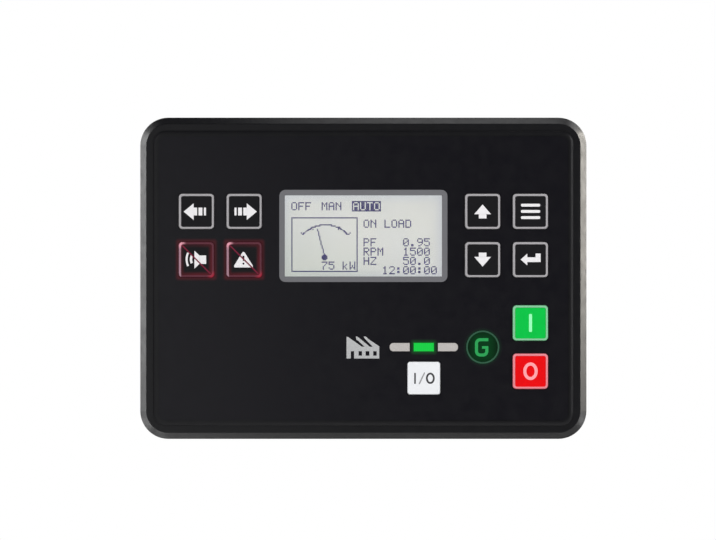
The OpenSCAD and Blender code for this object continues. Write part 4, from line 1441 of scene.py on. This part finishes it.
@dataclass
class Studio:
    """White surroundings, a pale floor, soft lamps and the camera of the photograph."""

    lens_mm: float = 500.0
    sensor_mm: float = 36.0
    clip_start: float = 0.01
    picture_mm: float = 280.6
    aim_x_mm: float = -2.1
    aim_z_mm: float = 3.25
    aim_plane_mm: float = -6.5
    floor_z: float = -0.2
    floor_radius: float = 0.5
    floor_sides: int = 96
    wall_edge: float = 0.85
    fill_from: Tuple[float, float, float] = (-0.55, -0.77, 0.33)
    fill_edge: float = -0.2
    fill_most: float = 1.2
    fill_least: float = 0.25

    def lamps(self) -> List[Softbox]:
        """Lists the lamps.

        Returns:
            Five in front of the controller, seven round its edge and one behind it.
        """
        return [
            Softbox("key", (-0.9, -1.1, 0.45), (0.9, 0.9), 1.5),
            Softbox("fill", (1.0, -1.2, 0.25), (0.8, 0.8), 0.5),
            Softbox("sheen", (-0.11, -0.3, -0.03), (0.14, 0.24), 0.075),
            Softbox("left_wall", (-0.5, -0.25, 0.0), (0.3, 0.5), 0.16),
            Softbox("shoulder", (0.5, -0.28, 0.12), (0.04, 0.4), 1.15),
            Softbox("left_strip", (-0.36, 0.17, 0.08), (0.12, 0.26), 0.195, spread=90.0),
            Softbox("right_strip", (0.36, 0.17, 0.1), (0.12, 0.26), 0.43, "#fffaf0", 90.0),
            Softbox("low", (-0.1, 0.075, -0.175), (0.14, 0.05), 0.011, spread=90.0),
            Softbox("left_low", (-0.25, 0.118, -0.13), (0.1, 0.16), 0.05, spread=90.0),
            Softbox("right_low", (0.285, 0.1325, -0.115), (0.1, 0.12), 0.034, spread=90.0),
            Softbox("right_top", (0.24, 0.16, 0.25), (0.12, 0.12), 0.043, spread=90.0),
            Softbox("over", (0.035, 0.055, 0.17), (0.16, 0.06), 0.048),
            Softbox("behind", (-0.5, 1.0, 0.3), (0.9, 0.9), 6.0),
        ]

    def build(self) -> None:
        """Sets up the world, the floor, the lamps and the camera."""
        self.world()
        self.floor()
        for lamp in self.lamps():
            lamp.build()
        self.camera()
        bpy.context.scene.view_settings.view_transform = "Standard"

    def world(self) -> None:
        """Shows white to the camera, and to gloss and glass a white wall behind the object only."""
        world = bpy.data.worlds.new("white_studio")
        bpy.context.scene.world = world
        world.use_nodes = True
        tree = world.node_tree
        tree.nodes.clear()
        most = {"operation": "MAXIMUM"}
        direction = add(tree, "TexCoord").outputs["Generated"]
        depth = add(tree, "SeparateXYZ", links={0: direction}).outputs["Y"]
        ray = add(tree, "LightPath").outputs
        ends = dict(zip(RANGE, (self.wall_edge, 1.0, 0.0, 1.0)))
        wall = add(tree, "MapRange", ends, {"Value": depth}).outputs[0]
        dot = {"operation": "DOT_PRODUCT", 1: self.fill_from}
        facing = add(tree, "VectorMath", dot, {0: direction}).outputs["Value"]
        ends = dict(zip(RANGE, (self.fill_edge, 1.0, self.fill_least, self.fill_most)))
        soft = add(tree, "MapRange", ends, {"Value": facing}).outputs[0]
        rays = {0: ray["Is Glossy Ray"], 1: ray["Is Transmission Ray"]}
        clear = add(tree, "Math", most, rays).outputs[0]
        level = add(tree, "Mix", {"data_type": "FLOAT"}, {0: clear, 2: soft, 3: wall}).outputs[0]
        strength = add(tree, "Math", most, {0: level, 1: ray["Is Camera Ray"]}).outputs[0]
        white = add(tree, "Background", links={"Color": "#ffffff", "Strength": strength})
        add(tree, "OutputWorld", links={"Surface": white.outputs[0]})

    def floor(self) -> None:
        """Lays a round pale floor well under the object."""
        deselect()
        bpy.ops.mesh.primitive_circle_add(
            vertices=self.floor_sides, radius=self.floor_radius, fill_type="NGON",
            location=(0, 0, self.floor_z),
        )
        floor = bpy.context.object
        floor.name = "floor"
        # Paper: matt pale grey without a pattern
        paper = Finish(
            "pale_paper", "#c0c0c0", 0.9, specular=0.2, grain=2.0, relief=0.02, patch=0.02,
            patch_size=60.0,
        )
        floor.data.materials.append(paper.build())

    def camera(self) -> None:
        """Puts the camera square in front, at the distance that gives the photograph's scale."""
        distance = self.picture_mm * self.lens_mm / self.sensor_mm
        lens = bpy.data.cameras.new("photo_camera")
        lens.lens = self.lens_mm
        lens.sensor_width = self.sensor_mm
        lens.clip_start = self.clip_start
        camera = bpy.data.objects.new("photo_camera", lens)
        aim = (self.aim_x_mm, self.aim_plane_mm - distance, self.aim_z_mm)
        camera.location = Vector(aim) * MM
        camera.rotation_euler = (FRONT_TURN, 0, 0)
        bpy.context.scene.collection.objects.link(camera)
        bpy.context.scene.camera = camera


def main() -> None:
    """Builds the studio and the controller's pieces in order."""
    logging.basicConfig(level=logging.INFO, format="%(message)s")
    Studio().build()
    palette = Palette()
    palette.dress_nodes()
    press = Press(palette)
    WindowBorder().build(press)
    Reading().build(palette)
    KeyPrints().build(press)
    StatusPrints().build(press)


if __name__ == "__main__":
    main()
